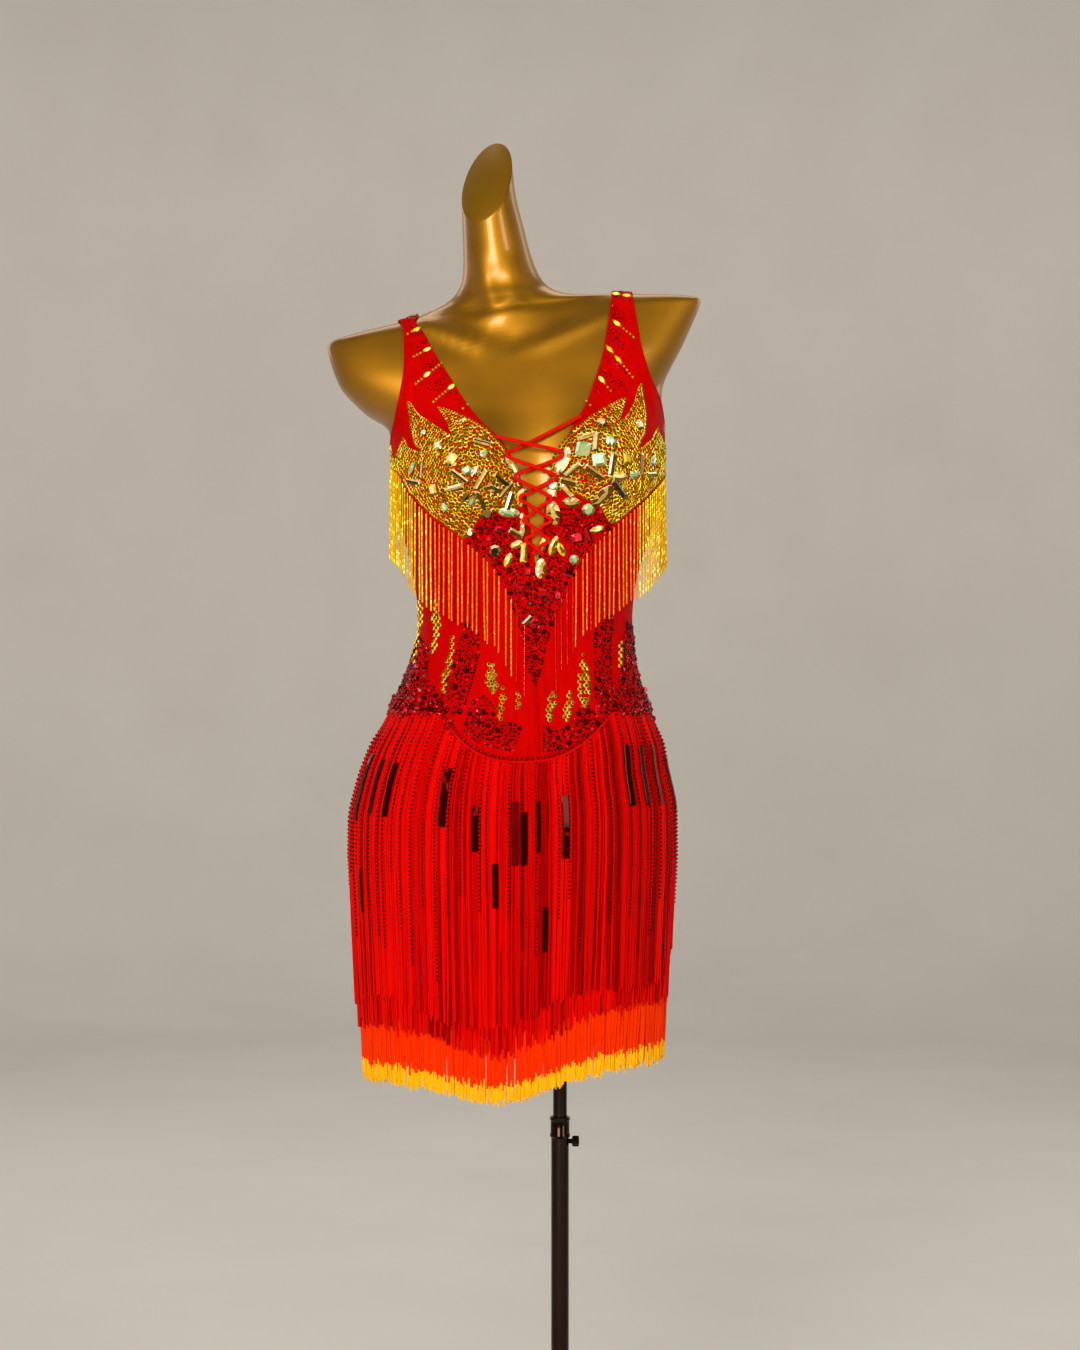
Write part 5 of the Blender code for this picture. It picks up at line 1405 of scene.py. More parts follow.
def make_big_stones(side):
    """The large sewn crystals of one side, each in the middle of its own patch."""
    lots = []
    for x, z, cut, wide, long, angle, tint in BIG_STONES[side]:
        point, normal = seat(*places_at([x], [z]), CRYSTAL_LIFT)
        high = CRYSTAL_HEIGHT + CRYSTAL_HEIGHT_EACH * wide
        wide, long, angle = wide * GIRDLE_WIDER, long * GIRDLE_SHARES[cut], math.radians(angle)
        size = (long / 1000, wide / 1000, high)
        stone, facets = set_down(CUTS[cut], point, normal, size, angle, CRYSTAL_TILT)
        # Each facet takes a painted highlight or painted shade by how it leans to the lamps.
        tables = BAR_TABLES if cut == "b" else OTHER_TABLES
        lots.append((stone, facets, 3 * TINTS.index(tint) + painted_facet_shades(stone, facets, tables)))
        step = min(wide, long) / 1000
        for share in np.linspace(-0.5, 0.5, max(1, round(long / wide))):
            reach = share * max(0.0, long - wide) / 1000
            spot = point[0] + reach * np.array([math.cos(angle), 0, math.sin(angle)])
            BED.take(spot, step * CRYSTAL_REACH)
    finishes = [shade for shades in CRYSTALS.values() for shade in shades]
    return piece_of("big_crystals_" + side, lots, finishes, "gold_beads", sharp=0)


LEAF_SIZE, SMALL_SIZE = (0.0092, 0.0050, 0.0022), (0.0031, 0.0031, 0.0015)  # of the strap's stones
STRAP_STONE_REACH = 0.0016


def strap_stones(side):
    """The rows of gold stones across one strap."""
    lots = []
    for x0, z0, x1, z1, count, leaves in STRAP_ROWS[side]:
        share = np.linspace(0, 1, count)
        points, normals = seat(*places_at(x0 + (x1 - x0) * share, z0 + (z1 - z0) * share))
        angle = math.atan2(z1 - z0, x1 - x0)
        for n in range(count):
            BED.take(points[n], STRAP_STONE_REACH)
            template, size = (LEAF_STONE, LEAF_SIZE) if n in leaves else (SMALL_STONE, SMALL_SIZE)
            one = set_down(template, points[n : n + 1], normals[n : n + 1], size, angle, 0.1)
            lots.append((*one, int(rng.choice((0, 1))) if n in leaves else 2))
    return lots


def make_gold_stones(side):
    """Gold rhinestones of one side: the strap's rows, the waist's flames and the cup's flames."""
    lots = strap_stones(side)
    for outline in WAIST_FLAMES[side]:
        places = pack_zone(outline, WAIST_GOLD)
        lots += stone_lots(*places, WAIST_GOLD, (0.92, 1.02), 0.10, CUP_STONE, (0.45, 0.45, 0.10))
    for outline in GOLD_ZONES[side]:
        for pitch, reach in ((LARGE_GOLD, LARGE_GOLD_REACH), (SMALL_GOLD, 1.0)):
            lots += stone_lots(*fill_zone(outline, pitch, reach), pitch)
    lots += stone_lots(*choose(*side_flame_places(HANDS[side]), SMALL_GOLD), SMALL_GOLD)
    return piece_of("gold_rhinestones_" + side, lots, GOLD_STONES, "gold_beads", sharp=0)


SIDE_LINE_ANGLES, SIDE_LINE_HEIGHTS = (70, 90, 104), (1.212, 1.226, 1.236)  # lower line of the stones
SIDE_LOWEST, SIDE_BAND, SIDE_FLAME_HEIGHT, SIDE_FLAMES = 0.006, 0.010, 0.020, 26


def side_flame_places(hand):
    """Many places round the side, where the cup's stones run back to the end of the bead fringe."""
    theta = np.radians(rng.uniform(72, 104, TRIES))
    low = np.interp(theta, np.radians(SIDE_LINE_ANGLES), SIDE_LINE_HEIGHTS)
    flame = 0.5 + 0.5 * np.cos(theta * SIDE_FLAMES)
    fade = np.clip((math.radians(106) - theta) / 0.5, 0, 1)
    high = low + SIDE_LOWEST + (SIDE_BAND + SIDE_FLAME_HEIGHT * flame**2) * fade
    z = rng.uniform(low, high)
    return hand * theta, v_for(hand * theta, z)


def strap_band_places(places, hand):
    """Many places on the half of a strap beside the neckline, in slanting bands."""
    first = row_at(places, STRAP_BANDS_START)
    rows = rng.uniform(first, PANEL_ROWS - 1.001, TRIES)
    across = rng.uniform(0.04, 0.55, len(rows))
    column = across * PANEL_COLUMNS
    i, j = rows.astype(int), column.astype(int)
    u, w = (rows - i)[:, None], (column - j)[:, None]
    low = places[i, j] * (1 - w) + places[i, j + 1] * w
    high = places[i + 1, j] * (1 - w) + places[i + 1, j + 1] * w
    theta, v = (low * (1 - u) + high * u).T
    x, _, z = form_point(theta, v).T
    keep = np.sin(math.tau * (z - STRAP_BAND_SLANT * hand * -x) / STRAP_BAND_PITCH) > -0.25
    return theta[keep], v[keep]


HIP_BAND_TRIES, HIP_FLAMES = 26000, 3.5
HIP_BAND_LOW, HIP_BAND_HIGH, HIP_FLAME_HEIGHT = 0.003, 0.016, 0.060  # above the hip seam


def hip_band_places():
    """Many places of the dark flames round the hips and back, above the hip seam."""
    theta = np.radians(rng.uniform(82, 278, HIP_BAND_TRIES))
    flame = np.abs(np.cos((theta - math.pi) * HIP_FLAMES)) ** 2.5
    z = rng.uniform(HIP_SEAM + HIP_BAND_LOW, HIP_SEAM + HIP_BAND_HIGH + HIP_FLAME_HEIGHT * flame)
    return theta, v_for(theta, z)


CLUSTER_STONES, CLUSTER_OFF, CLUSTER_SPREAD = 420, 0.0026, 0.0065
CLUSTER_WIDTHS, CLUSTER_WIDTH_SHARES = (0.0030, 0.0042, 0.0062), (0.6, 0.3, 0.1)
HIP_RUBY_MIX = (0.34, 0.54, 0.12)


def hip_cluster(hand):
    """Stones of all sizes scattered over the hip seam at one side, where bodice and fringe meet."""
    theta = hand * np.radians(rng.uniform(36, 178, CLUSTER_STONES))
    v = v_for(theta, seam_height(theta) + rng.normal(0.001, CLUSTER_SPREAD, CLUSTER_STONES))
    wide = rng.choice(CLUSTER_WIDTHS, CLUSTER_STONES, p=CLUSTER_WIDTH_SHARES)
    kinds = rng.choice(3, CLUSTER_STONES, p=HIP_RUBY_MIX)
    points, normals = seat(theta, v, CLUSTER_OFF)
    lots = []
    for kind in range(3):
        of = kinds == kind
        size = np.column_stack([wide, wide, wide * SPARKLE_HEIGHT])[of]
        spins = rng.uniform(0, 6, of.sum())
        lots.append((*set_down(ROUND_STONE, points[of], normals[of], size, spins, 0.3), kind))
    return lots


def make_ruby_stones(side, places):
    """Garnet and ruby stones of one side: the V below the cup, hips, point and strap's bands."""
    lots = []
    hand = HANDS[side]
    small = SMALL_RUBY, (0.85, 1.08), 0.25, SMALL_STONE
    for outline in RUBY_ZONES[side]:
        large_ones = scatter(outline, LARGE_RUBY_SPACING, LARGE_RUBY)
        lots += stone_lots(*large_ones, LARGE_RUBY, (0.7, 1.1), 0.3, ROUND_STONE, (0.6, 0.36, 0.04))
        lots += stone_lots(*fill_zone(outline, SMALL_RUBY), *small, (0.66, 0.31, 0.03))
    bands = choose(*strap_band_places(places, hand), STRAP_RUBY)
    lots += stone_lots(*bands, STRAP_RUBY, (0.7, 0.95), 0.2, SMALL_STONE, (0.5, 0.45, 0.05))
    theta, v = hip_band_places()
    mine = np.sin(theta) * hand > 0
    lots += stone_lots(*choose(theta[mine], v[mine], SMALL_RUBY * 1.1), *small, HIP_RUBY_MIX)
    lots += hip_cluster(hand)
    return piece_of("ruby_stones_" + side, lots, RUBY_STONES, "stretch_red", sharp=0)


# ------------------------------------------------------------ the bead fringe under the cups
BUST_STRANDS = 50
BEAD_LONG, BEAD_WIDE, BEAD_PITCH = 0.0058, 0.0018, 0.0060
BUST_OFF = 0.0018
BUGLE_WIDTHS = (0.75, 0.95, 1.0)  # of red, amber and gold ones
BRAID_SIDES = 8
SPARSE_END = 0.35  # how much closer the strands hang at the side than beside the front seam
BUST_DROP, BUST_DROP_MORE, BUST_UNEVEN = 0.080, 0.022, 0.002  # at the centre, further on, and by chance
KIND_STEPS, KIND_SPREAD = (0.10, 0.40), 0.09  # where red turns to amber and amber to gold
LINE_POINTS = 400
SWING = 0.0006
BUST_BRAID_POINTS, BUST_BRAID, BUST_BRAID_LOOPS = 220, 0.0009, 0.0001


def bust_line(rows, side):
    """A curve of theta and v along the bead fringe's tape, and its length."""
    places = np.column_stack(places_at(*np.array(rows).T))
    end_theta, end_z = BUST_END
    places = np.vstack([places, (side * end_theta, float(v_for(side * end_theta, end_z)))])
    knots = distances(places, PLACE_SCALE)
    return Curve(knots, places), knots[-1]


def make_bead_fringe(name, rows, side):
    """Plumb strands of bugle beads, red beside the centre, then amber, then gold to the side."""
    curve, length = bust_line(rows, side)
    at = np.linspace(0, length, LINE_POINTS)
    level = np.linalg.norm(np.diff(form_point(*curve(at).T)[:, :2], axis=0), axis=1)
    closeness = level * (1 + SPARSE_END * np.linspace(-1, 1, LINE_POINTS - 1))
    along = np.concatenate([[0], np.cumsum(closeness)]) / closeness.sum()
    share = (np.arange(BUST_STRANDS) + 0.5 + rng.uniform(-0.2, 0.2, BUST_STRANDS)) / BUST_STRANDS
    theta, v = curve(np.interp(share, along, at)).T
    roots = on_cloth(theta, v, BUST_OFF)
    drops = BUST_DROP + BUST_DROP_MORE * np.minimum(1.0, 2.5 * share)
    drops = drops + rng.uniform(-BUST_UNEVEN, BUST_UNEVEN, BUST_STRANDS)
    lots = []
    for n, root in enumerate(roots):
        z = np.arange(root[2] - BEAD_LONG * 0.7, root[2] - drops[n], -BEAD_PITCH)
        x = np.full(len(z), root[0])
        y = np.full(len(z), root[1])
        if abs(theta[n]) < LYING_THETA:
            y = np.minimum(y, on_cloth(*places_at(x, z), BUST_OFF)[:, 1])
        swing = rng.normal(0, SWING, 2) * np.linspace(0, 1, len(z))[:, None] ** 2
        points = np.column_stack([x + swing[:, 0], y - np.abs(swing[:, 1]), z])
        kind = int(np.searchsorted(KIND_STEPS, share[n] + rng.uniform(-KIND_SPREAD, KIND_SPREAD)))
        wide = BEAD_WIDE * BUGLE_WIDTHS[kind]
        facing = -unit(np.gradient(points, axis=0)) + (0, 1e-4, 0)
        beads = set_down(BUGLE_BEAD, points, facing, (wide, wide, BEAD_LONG), rng.uniform(0, 1), 0.004)
        lots.append((*beads, kind))
    return piece_of(
        "bead_strands_" + name, lots, [RED_BUGLE, AMBER_BUGLE, GOLD_BUGLE], "gold_beads",
        sharp=35, replaces=("fringe_bust_" + name,),
    )


def make_bust_braid(name, rows, side):
    """The narrow crocheted braid that the strands hang from."""
    curve, length = bust_line(rows, side)
    path = on_cloth(*curve(np.linspace(0, length, BUST_BRAID_POINTS)).T, 0.0003)
    radius = BUST_BRAID + BUST_BRAID_LOOPS * np.sin(np.arange(BUST_BRAID_POINTS) * 1.6)
    verts, faces = tubes(path[None], radius[None], BRAID_SIDES, (0, 1, 0.2))
    return new_piece("bust_braid_" + name, verts, faces, BRAID, "stretch_red")


# ------------------------------------------------------------ the hip fringes
HIP_STRANDS, TIPPED_STRANDS = 520, 620
STRAND = 0.00100  # radius of a strand
ROOT_OFF, ROOT_LENGTH = 0.0010, 0.040  # at its root a strand lies close to the cloth
STRAND_SPREAD, STRAND_BOW = 0.0016, 0.0010  # how far strands stand out of their layer, and bow
CLUMP, CLUMP_RANGE = 8, 4  # strands in a clump
PULL, PULL_SHARES = 0.15, (-0.02, 0.18)  # metres a radian to the clump's middle, and the share of it
CLUMP_LEAN, STRAND_LEAN, STRAND_WAVE = 0.0011, 0.0007, 0.0006
# Ends of the three layers: height at x = 0, slope along x, and depth of their round dip at the front.
OUTER_ENDS, MIDDLE_ENDS, TIPPED_ENDS = (0.652, 0.06, 0.034), (0.625, 0.06, 0.038), (0.561, 0.04, 0.026)
DIP_MIDDLE, DIP_SPREAD = -0.065, 0.075
OUTER_OUT, MIDDLE_OUT, TIPPED_OUTS = 0.0058, 0.0036, (0.0014, 0.0030)  # of the layers, from the cloth
OUTER_ROUGH, TIPPED_ROUGH = 0.003, 0.0028  # unevenness of their ends
MIDDLE_DROP = 0.055  # how much lower than the outer layer the middle one is sewn
LEFT_RISE, END_WAVE = 0.024, 0.006
FRINGE_DROP, BRAID_DROP = 0.003, 0.004  # below the hip seam


def ends_height(ends, theta):
    """Height of a layer's ends at an angle round the body."""
    level, slope, dip = ends
    x = form_point(theta, v_at(HIP_LEVEL))[..., 0]
    round_dip = np.exp(-(((x - DIP_MIDDLE) / DIP_SPREAD) ** 2)) * ramp(np.cos(theta), 0.0, 0.3)
    return level + slope * x - dip * round_dip


def fall(theta, z, out, level=HIP_LEVEL):
    """Points of a fringe's fall: on the cloth down to a level, then hanging and drawn in a little."""
    points = on_cloth(theta, v_for(theta, np.maximum(z, level)), out)
    centre = BODY(v_at(HIP_LEVEL))[CENTRE_X]
    draw = 1 - FALL_TAPER * np.clip(level - z, 0, None)
    x = centre + (points[..., 0] - centre) * draw
    return np.stack([x, points[..., 1] * draw, np.where(z > level, points[..., 2], z)], -1)


def waves_of(count, share, low, high):
    """A sine along each of many strands, of its own length and start."""
    return np.sin(share * rng.uniform(low, high, count)[:, None] + rng.uniform(0, 6, count)[:, None])


def strand_paths(count, steps, top, ends, out, level=HIP_LEVEL, rough=OUTER_ROUGH):
    """Centre lines of a layer of strands, which gather into clumps, and each strand's clump."""
    fine = np.linspace(0, math.tau, 1441)
    round_it = np.linalg.norm(np.diff(form_point(fine, v_at(level))[:, :2], axis=0), axis=1)
    along = np.concatenate([[0], np.cumsum(round_it)]) / round_it.sum()
    theta = np.interp((np.arange(count) + rng.uniform(-0.3, 0.3, count)) / count % 1.0, along, fine)
    theta.sort()
    start, end = top(theta), ends(theta) + rng.normal(0, rough, count)
    share = np.linspace(0, 1, steps)
    z = start[:, None] + (end - start)[:, None] * share
    off = out + rng.uniform(0, STRAND_SPREAD, count)[:, None]
    off = off + STRAND_BOW * waves_of(count, share, 2, 5) * share
    off = ROOT_OFF + (off - ROOT_OFF) * ramp(start[:, None] - z, 0.0, ROOT_LENGTH)
    points = fall(theta[:, None], z, off, level)
    sizes = rng.integers(CLUMP - CLUMP_RANGE, CLUMP + CLUMP_RANGE + 1, count)
    groups = np.repeat(np.arange(count), sizes)[:count]
    clumps = groups.max() + 1
    middle = np.array([theta[groups == g].mean() for g in range(clumps)])
    pull = (middle[groups] - theta) * PULL * rng.uniform(*PULL_SHARES, clumps)[groups]
    lean = rng.normal(0, CLUMP_LEAN, clumps)[groups] + rng.normal(0, STRAND_LEAN, count)
    wave = rng.normal(0, STRAND_WAVE, count)[:, None] * waves_of(count, share, 4, 11)
    sway = (pull + lean)[:, None] * share**1.8 + wave * share
    points[..., 0] += sway * np.cos(theta)[:, None]
    points[..., 1] += sway * np.sin(theta)[:, None]
    return points, groups


def tint_kinds(groups, count):
    """A tint for each strand: most strands of a clump match, a few are brighter or deeper."""
    tone = rng.choice(3, groups.max() + 1, p=(0.42, 0.38, 0.20))[groups]
    odd = rng.random(count) < 0.3
    return np.where(odd, rng.choice(3, count, p=(0.35, 0.35, 0.30)), tone)


def fringe_top(theta):
    """Height of the upper fringe's roots."""
    return seam_height(theta) - FRINGE_DROP


def middle_top(theta):
    """Height of the shorter inner layer's roots."""
    return fringe_top(theta) - MIDDLE_DROP


def outer_ends(theta):
    """The outermost strands end higher still at the left side, and in a slight wave."""
    left = ramp(np.sin(theta), 0.90, 0.97)
    return ends_height(OUTER_ENDS, theta) + LEFT_RISE * left + END_WAVE * np.sin(theta * 5 + 1)


HIP_STEPS, STRAND_SIDES = 15, 4


def make_hip_fringe():
    """The long red fringe, in an outer and a shorter inner layer sewn below the hip seam."""
    lots = []
    layers = (
        (fringe_top, outer_ends, OUTER_OUT),
        (middle_top, lambda theta: ends_height(MIDDLE_ENDS, theta), MIDDLE_OUT),
    )
    for layer in layers:
        paths, groups = strand_paths(HIP_STRANDS, HIP_STEPS, *layer)
        tone = tint_kinds(groups, HIP_STRANDS)
        kinds = np.concatenate([np.repeat(tone, (HIP_STEPS - 1) * STRAND_SIDES), tone, tone])
        lots.append((*tubes(paths, STRAND, STRAND_SIDES), kinds))
    return piece_of("hip_fringe_red", lots, RAYON, "red_fringe", sharp=60, replaces=("fringe_upper",))


DYED_END, YELLOW_END = 0.068, 0.017  # lengths of the dyed end and of its yellow tip
DYE_JITTER = 0.0020
TIPPED_STEPS = 10  # the last five carry the dye's steps
ORANGE, YELLOW = 3, 4  # among the lower fringe's finishes


def tipped_layer(out):
    """One row of the lower fringe's strands, with the dye's steps at their own heights."""
    steps, count = TIPPED_STEPS, TIPPED_STRANDS
    paths, groups = strand_paths(
        count, steps, lambda theta: np.full(len(theta), LOWER_TAPE_TOP),
        lambda theta: ends_height(TIPPED_ENDS, theta), out, LOWER_TAPE_TOP, TIPPED_ROUGH,
    )
    length = paths[:, :1, 2] - paths[:, -1:, 2]
    old = np.linspace(0, 1, steps)
    share = old[None] + np.zeros((count, 1))
    jitter = rng.normal(0, DYE_JITTER, (count, 1))
    share[:, -5] = (1 - (DYED_END + jitter) / length)[:, 0]
    share[:, -3] = (1 - (YELLOW_END + 0.5 * jitter) / length)[:, 0]
    share[:, -4] = (share[:, -5] + share[:, -3]) / 2
    share[:, -2] = (share[:, -3] + 1) / 2
    share[:, :-5] = np.linspace(0, 1, steps - 5)[None] * share[:, -5:-4] * (steps - 6) / (steps - 5)
    paths = np.array([
        np.stack([np.interp(own, old, path[:, axis]) for axis in range(3)], -1)
        for own, path in zip(share, paths)
    ])
    tone = tint_kinds(groups, count)
    kinds = np.repeat(tone[:, None], steps - 1, axis=1)
    kinds[:, -4:-2] = ORANGE
    kinds[:, -2:] = YELLOW
    kinds = np.concatenate([np.repeat(kinds.reshape(-1), STRAND_SIDES), tone, np.full(count, YELLOW)])
    return (*tubes(paths, STRAND, STRAND_SIDES), kinds)


def make_tipped_fringe():
    """The lower fringe in two rows, dyed red, then orange, then yellow at its ends."""
    return piece_of(
        "hip_fringe_tipped", [tipped_layer(out) for out in TIPPED_OUTS],
        [*RAYON, RAYON_ORANGE, RAYON_YELLOW], "orange_fringe", sharp=60, replaces=("fringe_lower",),
    )


HIP_BRAID_POINTS, HIP_BRAID, HIP_BRAID_LOOPS = 420, 0.0016, 0.0002


def make_hip_braids():
    """The braids that both hip fringes hang from."""
    theta = np.linspace(0, math.tau, HIP_BRAID_POINTS, endpoint=False)
    radius = HIP_BRAID + HIP_BRAID_LOOPS * np.sin(np.arange(HIP_BRAID_POINTS) * 1.9)
    lots = []
    for z in (seam_height(theta) - BRAID_DROP, np.full(len(theta), LOWER_TAPE_TOP)):
        path = on_cloth(theta, v_for(theta, z), 0.0012)
        lots.append((*tubes(path[None], radius[None], BRAID_SIDES, (0, 0, 1), True), 0))
    return piece_of("hip_braids", lots, BRAID, "stretch_red")


# ------------------------------------------------------------ beads and bars on the hips
SEAM_BEADS, SEAM_BEAD = 210, 0.0026
BEAD_STRINGS, STRING_BEAD, STRING_PITCH = 72, 0.0026, 0.0044
# Bars on the front and sides: x and z of the top end, length and width in mm.
FOIL_BARS = (
    (-0.196, 0.904, 70, 8), (-0.185, 0.899, 57, 7), (-0.172, 0.896, 56, 7), (-0.119, 0.893, 62, 8),
    (-0.092, 0.853, 49, 7), (-0.072, 0.791, 48, 7), (-0.051, 0.857, 68, 8), (-0.042, 0.846, 57, 7),
    (-0.027, 0.857, 54, 4), (0.001, 0.863, 67, 8), (-0.019, 0.743, 48, 6), (0.065, 0.917, 67, 9),
    (0.080, 0.916, 66, 7), (0.092, 0.917, 67, 7), (0.108, 0.900, 58, 6), (-0.210, 0.782, 47, 5),
)
BACK_BARS = 22
BACK_BAR_TOPS, BACK_BAR_LENGTHS, BACK_BAR_WIDTHS = (0.78, 0.92), (0.046, 0.070), (0.005, 0.008)
BAR_OFF, BAR_BOW, BAR_HALF_THICKNESS, BAR_TURN = 0.0092, 0.0006, 0.0005, 0.10
BAR_STEPS = (0, 0.012, 0.03, 0.2, 0.4, 0.6, 0.8, 0.97, 0.988, 1.0)  # shares of its length
BAR_SECTION = ((-1, 0), (-0.8, 1), (0.8, 1), (1, 0), (0.8, -1), (-0.8, -1))
BRIGHTER_BARS = 0.25  # share of the brighter foil
BAR_THETA = math.radians(96)  # how far round the front's bars may hang
STRING_OFF, STRING_OUT = 0.0022, 0.0062  # of the bead strings: at the root, and how much further out below
STRING_ENDS = (0.68, 0.80)


def make_hip_beads():
    """A row of garnet beads along the hip seam, and strings of them down over the fringe."""
    theta = np.linspace(0, math.tau, SEAM_BEADS, endpoint=False)
    points, normals = seat(theta, v_for(theta, seam_height(theta) - 0.001), 0.0012)
    lots = [(*set_down(ROUND_BEAD, points, normals, SEAM_BEAD, rng.uniform(0, 1, SEAM_BEADS), 0.2), 0)]
    for n in range(BEAD_STRINGS):
        angle = (n + rng.uniform(-0.3, 0.3)) * math.tau / BEAD_STRINGS
        top = float(seam_height(angle)) - 0.006
        bottom = rng.uniform(*STRING_ENDS) - 0.02 * math.cos(angle)
        heights = np.arange(top, bottom, -STRING_PITCH)
        angles = np.full(len(heights), angle)
        path = fall(angles, heights, STRING_OFF + STRING_OUT * ramp(top - heights, 0.0, ROOT_LENGTH))
        facing = form_normal(angles, v_for(angle, np.maximum(heights, HIP_LEVEL)))
        lots.append((*set_down(ROUND_BEAD, path, facing, STRING_BEAD, 0.0, 0.2), 0))
    return piece_of("garnet_beads", lots, DARK_BEAD, "stretch_red", sharp=70)


def bar_lot(theta, top, length, width):
    """A long foil bar that hangs on the fringe, slightly bowed, with rounded ends."""
    share = np.array(BAR_STEPS)
    path = fall(np.full(len(share), theta), top - length * share, BAR_OFF + BAR_BOW * np.sin(share * math.pi))
    normal = form_normal(theta, v_for(theta, max(top - length / 2, HIP_LEVEL)))
    normal = normal + rng.normal(0, BAR_TURN, 3)
    normal /= np.linalg.norm(normal)
    across = np.cross(path[-1] - path[0], normal)
    across /= np.linalg.norm(across)
    half = width / 2 * np.interp(np.minimum(share, 1 - share), BAR_STEPS[:3], (0.86, 0.96, 1.0))
    rim = [path + across * (half * a)[:, None] + normal * BAR_HALF_THICKNESS * b for a, b in BAR_SECTION]
    verts = np.stack(rim, 1)
    index = np.arange(verts.size // 3).reshape(verts.shape[:2])
    faces = strip(index[:-1], index[1:]) + [index[0, ::-1].tolist(), index[-1].tolist()]
    return verts.reshape(-1, 3), faces, int(rng.random() < BRIGHTER_BARS)


def make_bars():
    """Long dark-red foil bars scattered over the hips, front and back."""
    lots = []
    for x, top, length, width in FOIL_BARS:
        theta = float(places_at(x, max(top, HIP_LEVEL))[0])
        theta = float(np.clip(theta, -BAR_THETA, BAR_THETA))
        lots.append(bar_lot(theta, top, length / 1000, width / 1000))
    for n in range(BACK_BARS):
        theta = math.radians(108 + 144 * (n + 0.5) / BACK_BARS)
        top, length, width = (rng.uniform(*r) for r in (BACK_BAR_TOPS, BACK_BAR_LENGTHS, BACK_BAR_WIDTHS))
        lots.append(bar_lot(theta, top, length, width))
    return piece_of("foil_bars", lots, BAR_FOILS, "stretch_red", sharp=30)


# ------------------------------------------------------------ the lacing
LACE_POINTS, LACE_SIDES = 460, 12
LACE_TWIST, LACE_YARNS, LACE_GROOVE = 0.0052, 3, 0.04  # length of a yarn's turn, yarns, depth between them
LACE_END = 0.6  # share of the radius at a cord's ends
CROSSING_GAP = 0.001  # between the cords where they cross


def edge_x(front, height):
    """x of a front's neckline edge at a height."""
    rows = FRONT_RIGHT if front == "right" else FRONT_LEFT
    table = np.array([(r[1], r[0]) for r in rows if r[1] is not RIDGE])
    return float(np.interp(height, table[:, 0], table[:, 1]))


def lace_point(x, z):
    """Middle of a cord that lies on the front of the dress at x, z."""
    theta, v = places_at([x], [z])
    return on_cloth(theta, v, LACE_LIFT + CORD / 2)[0]


def turn_points(front, height):
    """The arc of a cord's turn, from its upper leg to its lower one."""
    away = -1 if front == "right" else 1
    middle = edge_x(front, height) + away * LACE_OVERLAP
    return [
        lace_point(middle + away * LACE_TURN * math.cos(a), height + LACE_TURN * math.sin(a))
        for a in np.linspace(math.pi / 2, -math.pi / 2, 5)
    ]


def crossing(one, other):
    """Where two stretches of cord cross, seen from the front, as a share of the first."""
    (ax, _, az), (bx, _, bz) = one
    (cx, _, cz), (dx, _, dz) = other
    across = (bx - ax) * (dz - cz) - (bz - az) * (dx - cx)
    return ((cx - ax) * (dz - cz) - (cz - az) * (dx - cx)) / across


def lace_route(own, other, on_top):
    """Points of one cord. Between turns it is straight, or arched over the other cord."""
    mine = [turn_points(*turn) for turn in own]
    theirs = [turn_points(*turn) for turn in other]
    route = [mine[0][-1]]
    for i in range(len(mine) - 1):
        if on_top == (i % 2 == 0):
            stretches = (mine[i][-1], mine[i + 1][0]), (theirs[i][-1], theirs[i + 1][0])
            meet, under = (
                one[0] + (one[1] - one[0]) * crossing(one, two) for one, two in (stretches, stretches[::-1])
            )
            meet[1] = min(meet[1], under[1] - CORD - CROSSING_GAP)
            route.append(meet)
        route.extend(mine[i + 1])
    return np.array(route[:-4])


def make_lace(name, own, other, on_top):
    """One satin cord: its wrapped yarn shows as a fine spiral along it."""
    route = lace_route(own, other, on_top)
    knots = distances(route)
    at = np.linspace(0, knots[-1], LACE_POINTS)
    around = np.linspace(0, math.tau, LACE_SIDES, endpoint=False)
    spiral = around[None] * LACE_YARNS - at[:, None] * math.tau * LACE_YARNS / LACE_TWIST
    radius = CORD / 2 * (1 - LACE_GROOVE + LACE_GROOVE * np.cos(spiral))
    radius[[0, -1]] *= LACE_END
    verts, faces = tubes(eased(knots, route)(at)[None], radius[None], LACE_SIDES)
    return new_piece(name + "_cord", verts, faces, LACE_CORD, "red_cord", replaces=(name,))


# ------------------------------------------------------------ the stand
def metal_part(name, profile, sides, replaces, body="stand", finish=BRONZE):
    """A turned part of the stand, from rows of radius and height."""
    new_piece(
        name, *turned(profile, sides), finish, "bronze_metal", body, sharp=35, replaces=(replaces,),
    )


